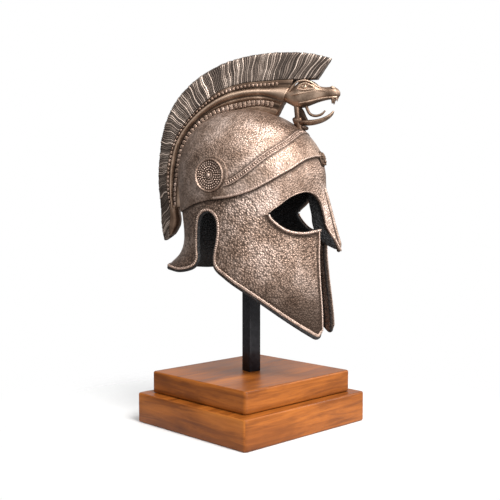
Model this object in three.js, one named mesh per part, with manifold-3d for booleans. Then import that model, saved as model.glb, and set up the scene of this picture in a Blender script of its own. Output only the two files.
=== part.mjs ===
// A display helmet in the ancient Greek style, bronze finish, on a square post and a two-tier wooden plinth.
// Millimetres, +Z up. +X is the way the helmet faces, +Y its wearer's left.
// The origin is the middle of the plinth's underside, on the axis of the post.
import * as THREE from 'three';
import { mergeVertices } from 'three/addons/utils/BufferGeometryUtils.js';
import Module from 'manifold-3d';

const wasm = await Module();
wasm.setup();

// Driving dimensions: plinth and post
const GAP = 0.3;
const PLINTH_TURN = -25.7;
const LOWER_TIER = { along: 220, across: 236, high: 41.5, corner: 3, edge: 2.5 };
const TIER_INSET = 15;
const UPPER_TIER_HIGH = 30.5;
const POST_SIDE = 19;
const POST_CORNER = 1.5;
const POST_TURN = -34;
const HEAD_RADIUS = 32;
const HEAD_BOTTOM = 415;

// Driving dimensions: helmet shell, each row { height, front, back, half width, roundness of the front }
const SHELL_ROWS = [
  { z: 100, front: 130, back: -130, wide: 70, round: 2.1 },
  { z: 127, front: 127, back: -130, wide: 72.5, round: 2.05 },
  { z: 160, front: 123, back: -130, wide: 75.5, round: 1.95 },
  { z: 200, front: 117.5, back: -130, wide: 78.5, round: 1.8 },
  { z: 216, front: 115.5, back: -129, wide: 79.5, round: 1.75 },
  { z: 226, front: 114.5, back: -119, wide: 80, round: 1.72 },
  { z: 238, front: 113.5, back: -106, wide: 80.7, round: 1.68 },
  { z: 252, front: 112.5, back: -99.5, wide: 81.4, round: 1.66 },
  { z: 270, front: 111, back: -98.5, wide: 82, round: 1.66 },
  { z: 300, front: 109.5, back: -102, wide: 82.3, round: 1.75 },
  { z: 341, front: 107, back: -106.5, wide: 82, round: 1.95 },
];
const BROW_HEIGHT = 341;
const CROWN_HEIGHT = 439;
const CROWN_SHIFT = -8;
const DOME_FRONT = 1.87;
const DOME_BACK = 2.3;
const DOME_SIDE = 2.2;
const ROUND_BACK = 2.03;
const NOSE = { start: 325, end: 247, out: 17.5, wide: 20 };

// Steps of the cast surface, as insets from the bowl's face
const PLATE_INSET = 2;
const DIADEM_INSET = -1.8;
const BORDER_INSET = -3.2;
const INNER_INSET = 7.5;

// The crest's curves are radii about one centre, by angle from straight ahead
const CREST_CENTRE = { x: -10, z: 340 };
const CREST_FRONT = 52.3;
const CREST_END = 215;
const HOLDER_FRONT = 61.5;
const HOLDER_END = 200;
const EGG_ROW = [[60, 118], [75, 114], [90, 109], [105, 107], [120, 105], [150, 104], [165, 101.5], [180, 102], [200, 109]];
const TUBE_ROW = [[60, 132], [75, 126.5], [90, 122.5], [105, 119.5], [120, 117], [150, 114], [165, 111], [180, 110], [200, 114]];
const HAIR_BASE = [
  [52, 172.5], [60, 157], [75, 141], [90, 134.5], [105, 130], [120, 123.5],
  [135, 120.5], [150, 120], [165, 118], [180, 117], [197, 118], [204, 122], [215, 138],
];
const TAIL_START = 198;
const TAIL_INSIDE = [[198, 104], [201, 108], [209, 113], [215, 124]];
const HAIR_EDGE = [
  [52, 207], [60, 198], [75, 182.5], [90, 173], [105, 167], [120, 161.5],
  [135, 155], [150, 145.5], [165, 136.5], [180, 133.5], [195, 135], [208, 145], [215, 151],
];
const LOCKS = 40;
const HAIR_BASE_HALF = 10.5;
const HAIR_EDGE_HALF = 6.5;
const LOCK_DEPTH = 1.1;

// Finish colours
const AGED_BRONZE = { color: 0x6b4f40, roughness: 0.42, metalness: 0.85 };
const DARK_BRONZE = { color: 0x4a3a30, roughness: 0.5, metalness: 0.8 };
const POLISHED_BRONZE = { color: 0x7a5638, roughness: 0.32, metalness: 0.9 };
const BLACK_METAL = { color: 0x16171a, roughness: 0.45, metalness: 0.6 };
const STAINED_WOOD = { color: 0xa35a20, roughness: 0.35, metalness: 0 };

const radians = THREE.MathUtils.degToRad;

// Smooth value at x through hand-set points, with the slope at each point taken from its neighbours
function through(points, x) {
  const last = points.length - 1;
  if (x <= points[0][0]) return points[0][1];
  if (x >= points[last][0]) return points[last][1];
  let i = 0;
  while (points[i + 1][0] < x) i += 1;
  const slope = (k) => {
    const low = points[Math.max(k - 1, 0)];
    const high = points[Math.min(k + 1, last)];
    return (high[1] - low[1]) / (high[0] - low[0]);
  };
  const span = points[i + 1][0] - points[i][0];
  const t = (x - points[i][0]) / span;
  const rise = points[i + 1][1] - points[i][1];
  const a = slope(i) * span - rise;
  const b = -slope(i + 1) * span + rise;
  return points[i][1] + t * rise + t * (1 - t) * (a * (1 - t) + b * t);
}

// Solids and meshes
function solidFromArrays(vertices, triangles) {
  const mesh = new wasm.Mesh({
    numProp: 3,
    vertProperties: new Float32Array(vertices),
    triVerts: new Uint32Array(triangles),
  });
  return new wasm.Manifold(mesh);
}

function solidFromGeometry(geometry) {
  const bare = geometry.clone();
  bare.deleteAttribute('normal');
  bare.deleteAttribute('uv');
  const merged = mergeVertices(bare, 1e-4);
  return solidFromArrays(merged.attributes.position.array, merged.index.array);
}

function geometryFromSolid(solid) {
  const mesh = solid.getMesh();
  const geometry = new THREE.BufferGeometry();
  geometry.setAttribute('position', new THREE.BufferAttribute(new Float32Array(mesh.vertProperties), 3));
  geometry.setIndex(new THREE.BufferAttribute(new Uint32Array(mesh.triVerts), 1));
  geometry.computeVertexNormals();
  return geometry;
}

// A closed body through rings of points, its two ends closed by fans
function loft(rings) {
  const vertices = [];
  const triangles = [];
  const count = rings[0].length;
  rings.flat().forEach((p) => vertices.push(p[0], p[1], p[2]));
  for (let r = 0; r + 1 < rings.length; r += 1) {
    for (let k = 0; k < count; k += 1) {
      const a = r * count + k;
      const b = r * count + ((k + 1) % count);
      triangles.push(a, b, b + count, a, b + count, a + count);
    }
  }
  const close = (ring, start, flipped) => {
    const middle = [0, 1, 2].map((axis) => ring.reduce((sum, p) => sum + p[axis], 0) / count);
    const centre = vertices.length / 3;
    vertices.push(...middle);
    for (let k = 0; k < count; k += 1) {
      const a = start + k;
      const b = start + ((k + 1) % count);
      if (flipped) triangles.push(centre, b, a);
      else triangles.push(centre, a, b);
    }
  };
  close(rings[0], 0, true);
  close(rings[rings.length - 1], (rings.length - 1) * count, false);
  return outward(vertices, triangles);
}

// Turns every triangle over where the body would be inside out
function outward(vertices, triangles) {
  let volume = 0;
  const corner = (i) => new THREE.Vector3(vertices[3 * i], vertices[3 * i + 1], vertices[3 * i + 2]);
  for (let i = 0; i < triangles.length; i += 3) {
    const [a, b, c] = [corner(triangles[i]), corner(triangles[i + 1]), corner(triangles[i + 2])];
    volume += a.dot(b.cross(c));
  }
  const turned = volume < 0 ? flipTriangles(triangles) : triangles;
  return solidFromArrays(vertices, turned);
}

function flipTriangles(triangles) {
  const flipped = [];
  for (let i = 0; i < triangles.length; i += 3) {
    flipped.push(triangles[i], triangles[i + 2], triangles[i + 1]);
  }
  return flipped;
}

function mirrored(solid) {
  const mesh = solid.getMesh();
  const vertices = Array.from(mesh.vertProperties);
  for (let i = 1; i < vertices.length; i += 3) vertices[i] = -vertices[i];
  return solidFromArrays(vertices, flipTriangles(Array.from(mesh.triVerts)));
}

// An outline pushed along a direction: u and v are its own axes, out is where it is pushed
function prism(points, u, v, out, from, to) {
  const shape = new THREE.Shape(points.map(([a, b]) => new THREE.Vector2(a, b)));
  const geometry = new THREE.ExtrudeGeometry(shape, { depth: to - from, bevelEnabled: false });
  geometry.translate(0, 0, from);
  const place = new THREE.Matrix4().makeBasis(u, v, out);
  geometry.applyMatrix4(place);
  return solidFromGeometry(geometry);
}

const X_AXIS = new THREE.Vector3(1, 0, 0);
const Y_AXIS = new THREE.Vector3(0, 1, 0);
const Z_AXIS = new THREE.Vector3(0, 0, 1);

// A side-view outline of (x, z) points, right through the helmet
function sidePrism(points) {
  const halfSpan = 130;
  return prism(points, X_AXIS, Z_AXIS, Y_AXIS.clone().negate(), -halfSpan, halfSpan);
}

// A front-view outline of (y, z) points, cut from the front only
function frontPrism(points) {
  return prism(points, Y_AXIS, Z_AXIS, X_AXIS, 55, 160);
}

// The right eye is outlined as seen from 40 degrees off the side
const EYE_VIEW = 40;
function eyePrism(points) {
  const a = radians(EYE_VIEW);
  const across = new THREE.Vector3(Math.cos(a), Math.sin(a), 0);
  const out = new THREE.Vector3(Math.sin(a), -Math.cos(a), 0);
  return prism(points, across, Z_AXIS, out, 25, 150);
}

// Helmet surface
function shellRow(z) {
  const at = (key) => through(SHELL_ROWS.map((row) => [row.z, row[key]]), z);
  return { front: at('front'), back: at('back'), wide: at('wide'), round: at('round'), middle: 0, back_round: ROUND_BACK };
}

function domeRow(z, inset) {
  const base = shellRow(BROW_HEIGHT);
  const h = Math.min((z - BROW_HEIGHT) / (CROWN_HEIGHT - inset - BROW_HEIGHT), 1);
  const shrink = (power) => Math.max(1 - h ** power, 0) ** (1 / power);
  const middle = CROWN_SHIFT * h;
  const ease = Math.min(3 * h, 1);
  return {
    front: middle + (base.front - inset - middle) * shrink(DOME_FRONT),
    back: middle + (base.back + inset - middle) * shrink(DOME_BACK),
    wide: (base.wide - inset) * shrink(DOME_SIDE),
    round: base.round + (2 - base.round) * ease,
    middle,
    back_round: ROUND_BACK,
  };
}

function sectionAt(z, inset) {
  if (z > BROW_HEIGHT) return domeRow(z, inset);
  const row = shellRow(z);
  return { ...row, front: row.front - inset, back: row.back + inset, wide: row.wide - inset };
}

// How far the nose guard stands forward of the face
function noseOut(y, z) {
  const drop = THREE.MathUtils.clamp((NOSE.start - z) / (NOSE.start - NOSE.end), 0, 1.15);
  return NOSE.out * drop * Math.max(1 - (y / NOSE.wide) ** 2, 0);
}

function surfacePoint(section, phi, z) {
  const c = Math.cos(phi);
  const s = Math.sin(phi);
  const power = 2 / (c >= 0 ? section.round : section.back_round);
  const reach = c >= 0 ? section.front - section.middle : section.back - section.middle;
  const y = section.wide * Math.sign(s) * Math.abs(s) ** power;
  const x = section.middle + reach * Math.abs(c) ** power;
  return [c > 0 ? x + noseOut(y, z) : x, y, z];
}

const OUTER_AROUND = 42;
const INNER_AROUND = 26;
const SHELL_LEVELS = [100, 150, 200, 216, 230, 246, 270, 300, 323, BROW_HEIGHT];
const DOME_LEVELS = [0.2, 0.38, 0.54, 0.68, 0.8, 0.89, 0.95];
const DOME_CAP = 0.99;
function surfaceSolid(inset, around = OUTER_AROUND) {
  const levels = [...SHELL_LEVELS];
  const rise = CROWN_HEIGHT - inset - BROW_HEIGHT;
  [...DOME_LEVELS, DOME_CAP].forEach((h) => levels.push(BROW_HEIGHT + h * rise));
  const rings = levels.map((z) => {
    const section = sectionAt(z, inset);
    const ring = [];
    for (let k = 0; k < around; k += 1) {
      const turn = (2 * Math.PI * k) / around;
      // points stand closer together towards the face
      const phi = turn - 0.45 * Math.sin(turn);
      ring.push(surfacePoint(section, phi, z));
    }
    return ring;
  });
  return loft(rings);
}

// Side-view outlines of the helmet, (x, z)
const LEDGE_LINE = [
  [-140, 289], [-88, 298], [-60, 307], [-37, 312], [-6, 315], [15, 320], [34, 327], [74, 351], [98, 369], [140, 372],
];
const DIADEM_TOP = [[-34, 338], [-6, 338], [13, 348], [41, 371], [65, 391], [76, 412], [98, 445], [140, 445]];
const BORDER_WIDTH = 5;
const CHEEK_AND_NECK_EDGE = [
  [160, 137], [117, 137], [115, 129], [108, 126], [100, 131.5], [70, 152.5], [38, 175], [14, 190.5], [-3, 201], [-14, 209],
  [-23, 216], [-28.5, 224], [-29.5, 233], [-28, 244], [-24.7, 258], [-23, 274], [-24.5, 286], [-29.5, 293],
  [-37, 295.5], [-45, 292.5], [-50.5, 284.5], [-53, 267], [-53, 250], [-51, 237], [-53, 228.5], [-60, 221.5],
  [-75, 216], [-92, 214], [-112, 217], [-160, 222],
];
const SLOT_RIM = [
  [-24, 224], [-22.5, 244], [-19.5, 258], [-18, 274], [-19.5, 289], [-27, 298], [-37, 301], [-48, 297.5],
  [-55.5, 287], [-58, 267], [-58, 250], [-57, 224],
];

function bowlRegion() {
  return sidePrism([...LEDGE_LINE, [140, 460], [-140, 460]]);
}

function diademRegion() {
  const underside = LEDGE_LINE.filter(([x]) => x > -34).reverse();
  return sidePrism([...DIADEM_TOP, ...underside, [-34, 313]]);
}

function borderRegion() {
  const lowered = DIADEM_TOP.map(([x, z]) => [x + 0.6 * BORDER_WIDTH, z - 0.8 * BORDER_WIDTH]).reverse();
  return sidePrism([...DIADEM_TOP, ...lowered]);
}

// Front-view outlines of the helmet, (y, z)
const CHEEK_EDGE = [[18.5, 281], [19.5, 250], [24, 200], [28, 160], [32, 127], [36, 90]];
const NOSE_EDGE = [[15.3, 283], [13.5, 276], [11.1, 268], [8.6, 262], [6.5, 257], [4, 250], [0, 243.5]];
const flipped = (points) => points.map(([y, z]) => [-y, z]);
function slitPrism() {
  const noseRight = flipped(NOSE_EDGE.slice(0, -1)).reverse();
  return frontPrism([...[...CHEEK_EDGE].reverse(), ...NOSE_EDGE, ...noseRight, ...flipped(CHEEK_EDGE)]);
}

// The nose guard is thick from front to back: the line of its back in side view, then its bottom and front
const NOSE_BACK = [
  [82, 330], [86, 305], [88.8, 292.6], [90, 281], [95, 267], [105.2, 254.5], [113.5, 249.8], [121.5, 246], [140, 246],
  [140, 330],
];
const NOSE_BACK_HALF = 8;
function noseBack() {
  const half = NOSE_BACK_HALF;
  return sidePrism(NOSE_BACK)
    .intersect(frontPrism([[-half, 200], [half, 200], [half, 340], [-half, 340]]))
    .intersect(surfaceSolid(PLATE_INSET))
    .subtract(slitPrism());
}

function cheekBorderRegion() {
  const border = 5;
  const outer = CHEEK_EDGE.map(([y, z]) => [-(y + border), z]);
  const inner = CHEEK_EDGE.map(([y, z]) => [-(y - border), z]).reverse();
  return frontPrism([...outer, ...inner]);
}

// Outline of the right eye in its own view, (across, z)
const EYE = [
  [-5.5, 294], [8.5, 306], [22.5, 316], [37.5, 321.5], [49, 322.4], [61.5, 318.5], [69.5, 310], [74, 297],
  [75.5, 276], [67, 273], [58.5, 271.5], [42, 269.5], [21, 272.5], [5.5, 281],
];
const EYE_RIM = 5;
function eyeRim() {
  const centre = [38, 295];
  const half = [44, 26];
  return EYE.map((p) => [0, 1].map((i) => centre[i] + (p[i] - centre[i]) * (1 + EYE_RIM / half[i])));
}

function buildShell() {
  const plate = surfaceSolid(PLATE_INSET);
  const bowlFace = surfaceSolid(0);
  const diademFace = surfaceSolid(DIADEM_INSET);
  const borderFace = surfaceSolid(BORDER_INSET);
  const rims = sidePrism(SLOT_RIM)
    .add(eyePrism(eyeRim()))
    .add(mirrored(eyePrism(eyeRim())))
    .add(cheekBorderRegion())
    .add(mirrored(cheekBorderRegion()));
  const outer = plate
    .add(bowlFace.intersect(bowlRegion().add(rims)))
    .add(diademFace.intersect(diademRegion()))
    .add(borderFace.intersect(borderRegion()));
  const below = sidePrism([...CHEEK_AND_NECK_EDGE, [-160, 60], [160, 60]]);
  return outer
    .subtract(surfaceSolid(INNER_INSET, INNER_AROUND))
    .subtract(below)
    .subtract(eyePrism(EYE))
    .subtract(mirrored(eyePrism(EYE)))
    .subtract(slitPrism())
    .add(noseBack());
}

// Crest, in polar places about its centre
function crestPoint(angle, radius, y) {
  const a = radians(angle);
  return [CREST_CENTRE.x + radius * Math.cos(a), y, CREST_CENTRE.z + radius * Math.sin(a)];
}

// Section of the holder at one angle: egg row, groove, round rail, groove, bead row
function holderRing(angle) {
  const egg = through(EGG_ROW, angle);
  const tube = through(TUBE_ROW, angle);
  const top = through(HAIR_BASE, angle);
  const low = tube - egg;
  const high = top - tube;
  const side = [
    [egg - 22, 8], [egg - 0.3 * low, 9], [egg - 0.15 * low, 11], [egg + 0.2 * low, 11], [egg + 0.45 * low, 8.6],
    [tube - 0.3 * low, 11.3], [tube, 12], [tube + 0.3 * high, 11.3], [top - 0.48 * high, 9],
    [top - 0.3 * high, 11], [top, 10.4],
  ];
  const right = side.map(([r, y]) => crestPoint(angle, r, -y));
  const left = side.map(([r, y]) => crestPoint(angle, r, y)).reverse();
  return [...right, ...left];
}

function buildHolder() {
  const steps = 20;
  const rings = [];
  for (let i = 0; i <= steps; i += 1) {
    rings.push(holderRing(HOLDER_FRONT + ((HOLDER_END - HOLDER_FRONT) * i) / steps));
  }
  return loft(rings).add(holderTail()).subtract(grownShellFace());
}

// Below the egg row the rail runs on alone, free of the neck guard
function holderTail() {
  const steps = 5;
  const rings = [];
  for (let i = 0; i <= steps; i += 1) {
    const angle = TAIL_START + ((CREST_END - TAIL_START) * i) / steps;
    const inside = through(TAIL_INSIDE, angle);
    const deep = through(HAIR_BASE, angle) - inside;
    const side = [[0, 5], [0.15, 8.5], [0.5, 10.5], [1, 9.5]];
    const right = side.map(([f, y]) => crestPoint(angle, inside + f * deep, -y));
    const left = side.map(([f, y]) => crestPoint(angle, inside + f * deep, y)).reverse();
    rings.push([...right, ...left]);
  }
  return loft(rings);
}

// The hair: locks side by side, each full in its middle and thin where it meets the next
function buildPlume() {
  const rings = [];
  const perLock = 2;
  for (let i = 0; i <= LOCKS * perLock; i += 1) {
    const angle = CREST_FRONT + ((CREST_END - CREST_FRONT) * i) / (LOCKS * perLock);
    const valley = i % perLock === 0 ? LOCK_DEPTH : 0;
    const base = through(HAIR_BASE, angle) + GAP;
    const edge = through(HAIR_EDGE, angle) - valley;
    const side = [
      [base, HAIR_BASE_HALF - valley],
      [base + 0.5 * (edge - base), 0.5 * (HAIR_BASE_HALF + HAIR_EDGE_HALF) - valley],
      [edge - 3, HAIR_EDGE_HALF - valley],
      [edge, 0.5 * HAIR_EDGE_HALF - 0.5 * valley],
    ];
    const right = side.map(([r, y]) => crestPoint(angle, r, -y));
    const left = side.map(([r, y]) => crestPoint(angle, r, y)).reverse();
    rings.push([...right, ...left]);
  }
  return loft(rings);
}

// A rounded body through oval stations: place, half height and half width along a bent spine
function ovalLoft(stations, grow = 0, around = 14) {
  const rings = stations.map(({ x, z, high, wide, lean = 0 }) => {
    const ring = [];
    for (let k = 0; k < around; k += 1) {
      const a = (2 * Math.PI * k) / around;
      const up = (high + grow) * Math.cos(a);
      const y = (wide + grow) * Math.sin(a);
      ring.push([x - up * Math.sin(radians(lean)), y, z + up * Math.cos(radians(lean))]);
    }
    return ring;
  });
  return loft(rings);
}

// Serpent, from where the rail ends: neck, brow, snout; throat; lower jaw; tongue
const HEAD_STATIONS = [
  { x: 53.5, z: 456, high: 9.3, wide: 10.8, lean: -28 },
  { x: 59, z: 455, high: 11.6, wide: 11, lean: -12 },
  { x: 65.5, z: 454.5, high: 15.5, wide: 12.6 },
  { x: 74, z: 457, high: 18.5, wide: 15 },
  { x: 82.5, z: 458.5, high: 17.6, wide: 15.5 },
  { x: 91, z: 458.5, high: 15, wide: 14 },
  { x: 98.5, z: 456.6, high: 10.4, wide: 11.5 },
  { x: 107, z: 456.6, high: 8.4, wide: 10 },
  { x: 117, z: 456.9, high: 8, wide: 9 },
  { x: 123.5, z: 456, high: 6.2, wide: 7 },
  { x: 126.5, z: 455.3, high: 3, wide: 3.5 },
];
const THROAT_STATIONS = [
  { x: 66.5, z: 449, high: 4.8, wide: 6, lean: 90 },
  { x: 67, z: 436, high: 4.6, wide: 5.5, lean: 88 },
  { x: 68, z: 425, high: 4.8, wide: 5.5, lean: 84 },
  { x: 71, z: 414, high: 5.8, wide: 6.5, lean: 78 },
  { x: 73, z: 404, high: 6.5, wide: 7, lean: 78 },
];
const JAW_STATIONS = [
  { x: 71, z: 418.5, high: 4.5, wide: 7.5, lean: -6 },
  { x: 80, z: 418.3, high: 4.4, wide: 9, lean: 0 },
  { x: 90, z: 418.6, high: 4, wide: 9, lean: 6 },
  { x: 100, z: 420.4, high: 3.4, wide: 8, lean: 16 },
  { x: 109, z: 424, high: 2.8, wide: 6, lean: 30 },
  { x: 115, z: 428.4, high: 2.2, wide: 4, lean: 45 },
  { x: 118, z: 432.4, high: 1.2, wide: 2, lean: 58 },
];
const TONGUE_STATIONS = [
  { x: 79, z: 443, high: 2.6, wide: 3.6, lean: -85 },
  { x: 80.5, z: 438, high: 2.2, wide: 3.2, lean: -70 },
  { x: 83.5, z: 431.5, high: 2, wide: 3.2, lean: -50 },
  { x: 88.5, z: 427.8, high: 1.9, wide: 3.2, lean: -18 },
  { x: 95, z: 427, high: 1.8, wide: 3, lean: 8 },
  { x: 101.5, z: 429, high: 1.6, wide: 2.4, lean: 32 },
  { x: 106.5, z: 433.6, high: 1, wide: 1.4, lean: 52 },
];
const EYEBALL = { x: 80.5, y: 12.8, z: 466.5, radius: 4.6 };
const FANG = { x: 117.5, y: 4.6, top: 452, tip: 441.5, radius: 2 };

function ball({ x, y, z, radius }) {
  return solidFromGeometry(new THREE.IcosahedronGeometry(radius, 1).translate(x, y, z));
}

function fang(side) {
  const cone = new THREE.ConeGeometry(FANG.radius, FANG.top - FANG.tip, 8);
  cone.rotateX(-Math.PI / 2);
  cone.translate(FANG.x, side * FANG.y, (FANG.top + FANG.tip) / 2);
  return solidFromGeometry(cone);
}

function buildHead() {
  const eyeLeft = ball(EYEBALL);
  const throat = ovalLoft(THROAT_STATIONS).subtract(surfaceSolid(BORDER_INSET - GAP));
  return ovalLoft(HEAD_STATIONS)
    .add(throat)
    .add(eyeLeft)
    .add(mirrored(eyeLeft))
    .add(fang(1))
    .add(fang(-1));
}

function buildJaw() {
  return ovalLoft(JAW_STATIONS, 0, 10).subtract(ovalLoft(THROAT_STATIONS, GAP)).subtract(grownShellFace());
}

function buildTongue() {
  return ovalLoft(TONGUE_STATIONS, 0, 8).subtract(ovalLoft(HEAD_STATIONS, GAP));
}

// Rosette: round boss turned to the bowl's side, its back following the bowl
const ROSETTE = { x: -30, y: -79.5, z: 345.5, radius: 24, turn: 12 };
function buildRosette() {
  const profile = [
    [0, -9], [23.2, -9], [24, 0.5], [22.3, 3.8], [20, 3.2], [19, 1.8], [16, 3], [13, 1.8], [9.6, 3.2],
    [6.6, 2], [4, 5.2], [0, 6.4],
  ];
  const lathe = new THREE.LatheGeometry(profile.map(([r, h]) => new THREE.Vector2(r, h)), 20);
  lathe.rotateX(Math.PI);
  lathe.rotateZ(radians(-ROSETTE.turn));
  lathe.translate(ROSETTE.x, ROSETTE.y, ROSETTE.z);
  return solidFromGeometry(lathe).subtract(grownShellFace());
}

// The shell's outside with the gap added, for what sits on it
function grownShellFace() {
  const step = -GAP;
  return surfaceSolid(step)
    .add(surfaceSolid(DIADEM_INSET + step).intersect(diademRegion()))
    .add(surfaceSolid(BORDER_INSET + step).intersect(borderRegion()));
}

// Small oval boss at the diadem's front point
const BOSS = { x: 101, z: 368, out: 6, wide: 9, high: 12 };
function buildBoss() {
  const oval = new THREE.SphereGeometry(1, 12, 8);
  oval.scale(BOSS.out, BOSS.wide, BOSS.high);
  oval.rotateY(radians(-14));
  oval.translate(BOSS.x, 0, BOSS.z);
  return solidFromGeometry(oval).subtract(grownShellFace());
}

// Stand
function roundedBox(along, across, bottom, top, corner, edge) {
  const shape = new THREE.Shape();
  const a = along / 2 - edge;
  const b = across / 2 - edge;
  const r = corner;
  shape.moveTo(-a + r, -b);
  shape.lineTo(a - r, -b);
  shape.absarc(a - r, -b + r, r, -Math.PI / 2, 0, false);
  shape.lineTo(a, b - r);
  shape.absarc(a - r, b - r, r, 0, Math.PI / 2, false);
  shape.lineTo(-a + r, b);
  shape.absarc(-a + r, b - r, r, Math.PI / 2, Math.PI, false);
  shape.lineTo(-a, -b + r);
  shape.absarc(-a + r, -b + r, r, Math.PI, 1.5 * Math.PI, false);
  const geometry = new THREE.ExtrudeGeometry(shape, {
    depth: top - bottom - 2 * edge,
    bevelEnabled: edge > 0,
    bevelThickness: edge,
    bevelSize: edge,
    bevelSegments: 2,
    curveSegments: 3,
  });
  return geometry.translate(0, 0, bottom + edge);
}

const UPPER_TIER_TOP = LOWER_TIER.high + UPPER_TIER_HIGH;
function buildLowerTier() {
  const t = LOWER_TIER;
  return roundedBox(t.along, t.across, 0, t.high, t.corner, t.edge);
}

function buildUpperTier() {
  const t = LOWER_TIER;
  const narrower = 2 * TIER_INSET;
  return roundedBox(t.along - narrower, t.across - narrower, t.high + GAP, UPPER_TIER_TOP, t.corner, t.edge);
}

// The post and its round head, whose top follows the inside of the crown
function buildPost() {
  const bar = roundedBox(POST_SIDE, POST_SIDE, UPPER_TIER_TOP + GAP, HEAD_BOTTOM + 1, POST_CORNER, 0);
  bar.rotateZ(radians(POST_TURN));
  const high = CROWN_HEIGHT - HEAD_BOTTOM;
  const disc = new THREE.CylinderGeometry(HEAD_RADIUS, HEAD_RADIUS, high, 20);
  disc.rotateX(Math.PI / 2);
  disc.translate(0, 0, HEAD_BOTTOM + high / 2);
  const head = solidFromGeometry(disc).intersect(surfaceSolid(INNER_INSET + GAP, INNER_AROUND));
  return geometryFromSolid(solidFromGeometry(bar).add(head));
}

// Assembly
const part = new THREE.Group();

function place(name, geometry, finish, parent = part) {
  const mesh = new THREE.Mesh(geometry, new THREE.MeshStandardMaterial(finish));
  mesh.name = name;
  parent.add(mesh);
  return mesh;
}

const plinth = new THREE.Group();
plinth.rotation.z = radians(PLINTH_TURN);
part.add(plinth);
place('plinth_lower', buildLowerTier(), STAINED_WOOD, plinth);
place('plinth_upper', buildUpperTier(), STAINED_WOOD, plinth);
place('post', buildPost(), BLACK_METAL);
place('helmet_shell', geometryFromSolid(buildShell()), AGED_BRONZE);
place('crest_holder', geometryFromSolid(buildHolder()), POLISHED_BRONZE);
place('crest_plume', geometryFromSolid(buildPlume()), DARK_BRONZE);
place('serpent_head', geometryFromSolid(buildHead()), POLISHED_BRONZE);
place('serpent_jaw', geometryFromSolid(buildJaw()), POLISHED_BRONZE);
place('serpent_tongue', geometryFromSolid(buildTongue()), POLISHED_BRONZE);
place('forehead_boss', geometryFromSolid(buildBoss()), POLISHED_BRONZE);
const rosette = buildRosette();
place('rosette_right', geometryFromSolid(rosette), AGED_BRONZE);
place('rosette_left', geometryFromSolid(mirrored(rosette)), AGED_BRONZE);

export default part;
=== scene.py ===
"""A Greek-style bronze helmet with a serpent and hair crest, on a square post and a stepped wooden plinth.

Sizes are in millimetres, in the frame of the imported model: +X the way the helmet faces, +Z up,
origin in the middle of the plinth's underside. Meshes are written in metres.
"""
import math

import bpy
import numpy as np
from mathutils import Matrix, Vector


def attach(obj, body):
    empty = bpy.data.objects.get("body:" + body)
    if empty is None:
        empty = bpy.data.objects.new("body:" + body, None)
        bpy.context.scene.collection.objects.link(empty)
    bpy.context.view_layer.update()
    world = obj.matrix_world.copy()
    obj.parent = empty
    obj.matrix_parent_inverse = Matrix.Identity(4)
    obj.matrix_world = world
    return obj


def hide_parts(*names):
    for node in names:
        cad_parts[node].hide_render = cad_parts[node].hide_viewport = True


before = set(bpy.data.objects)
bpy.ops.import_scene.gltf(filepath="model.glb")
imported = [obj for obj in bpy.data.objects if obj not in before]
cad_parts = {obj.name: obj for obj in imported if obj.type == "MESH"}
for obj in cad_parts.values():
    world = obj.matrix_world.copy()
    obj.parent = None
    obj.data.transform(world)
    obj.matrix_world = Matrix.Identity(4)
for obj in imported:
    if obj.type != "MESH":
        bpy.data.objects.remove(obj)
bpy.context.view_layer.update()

MM = 0.001
rng = np.random.default_rng(7)

# Camera, fitted to the plinth's corners in the photograph
VIEW_AZIMUTH = 20.0
VIEW_PITCH = 2.94
VIEW_DISTANCE = 1190.0
VIEW_ASIDE = -1.8
VIEW_HEIGHT = 304.0
LENS_MM = 60.98

# Helmet surface, each row: height, front, back, half width, roundness of the front
SHELL_ROWS = [
    (100, 130, -130, 70, 2.1),
    (127, 127, -130, 72.5, 2.05),
    (160, 123, -130, 75.5, 1.95),
    (200, 117.5, -130, 78.5, 1.8),
    (216, 115.5, -129, 79.5, 1.75),
    (226, 114.5, -119, 80, 1.72),
    (238, 113.5, -106, 80.7, 1.68),
    (252, 112.5, -99.5, 81.4, 1.66),
    (270, 111, -98.5, 82, 1.66),
    (300, 109.5, -102, 82.3, 1.75),
    (341, 107, -106.5, 82, 1.95),
]
BROW_HEIGHT = 341
CROWN_HEIGHT = 439
CROWN_SHIFT = -8
DOME_FRONT = 1.87
DOME_BACK = 2.3
DOME_SIDE = 2.2
ROUND_BACK = 2.03
NOSE_START = 325
NOSE_END = 247
NOSE_OUT = 17.5
NOSE_WIDE = 20

# Steps of the cast surface, as insets from the bowl's face
PLATE_INSET = 2.0
BROW_PLATE_INSET = 0.9
DIADEM_INSET = -1.6
INNER_INSET = 7.5
RIB_SUNK = 0.3
# Shading value that makes the surface black: the painted inside, and painted shade along the lower edges
FULL_BLACK = 2.0

# Side-view curves, (x, z)
LEDGE_LINE = [
    (-140, 289), (-88, 298), (-60, 307), (-37, 312), (-6, 315), (15, 320), (34, 327), (74, 351), (98, 369),
    (140, 372),
]
DIADEM_TOP = [(-34, 338), (-6, 338), (13, 348), (41, 371), (65, 391), (76, 412), (98, 445), (140, 445)]
CHEEK_AND_NECK_EDGE = [
    (160, 138), (122, 137), (117, 134), (113, 128), (107.5, 127), (100, 131.5), (70, 152.5), (38, 175),
    (14, 190.5), (-3, 201), (-14, 209), (-23, 216), (-28.5, 224), (-29.5, 233), (-28, 244), (-24.7, 258),
    (-23, 274), (-24.5, 286), (-29.5, 293), (-37, 295.5), (-45, 292.5), (-50.5, 284.5), (-53, 267),
    (-53, 250), (-51, 237), (-53, 228.5), (-60, 221.5), (-75, 216), (-92, 214), (-112, 217), (-160, 222),
]
BROW_PLATE_EDGE = [
    (6, 345), (12, 326), (19, 318.5), (27, 313), (33, 306), (34.5, 299), (34.5, 291.5), (40, 291), (49, 293),
    (80, 290), (104, 284), (109, 270), (112, 240), (150, 225),
]
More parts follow.
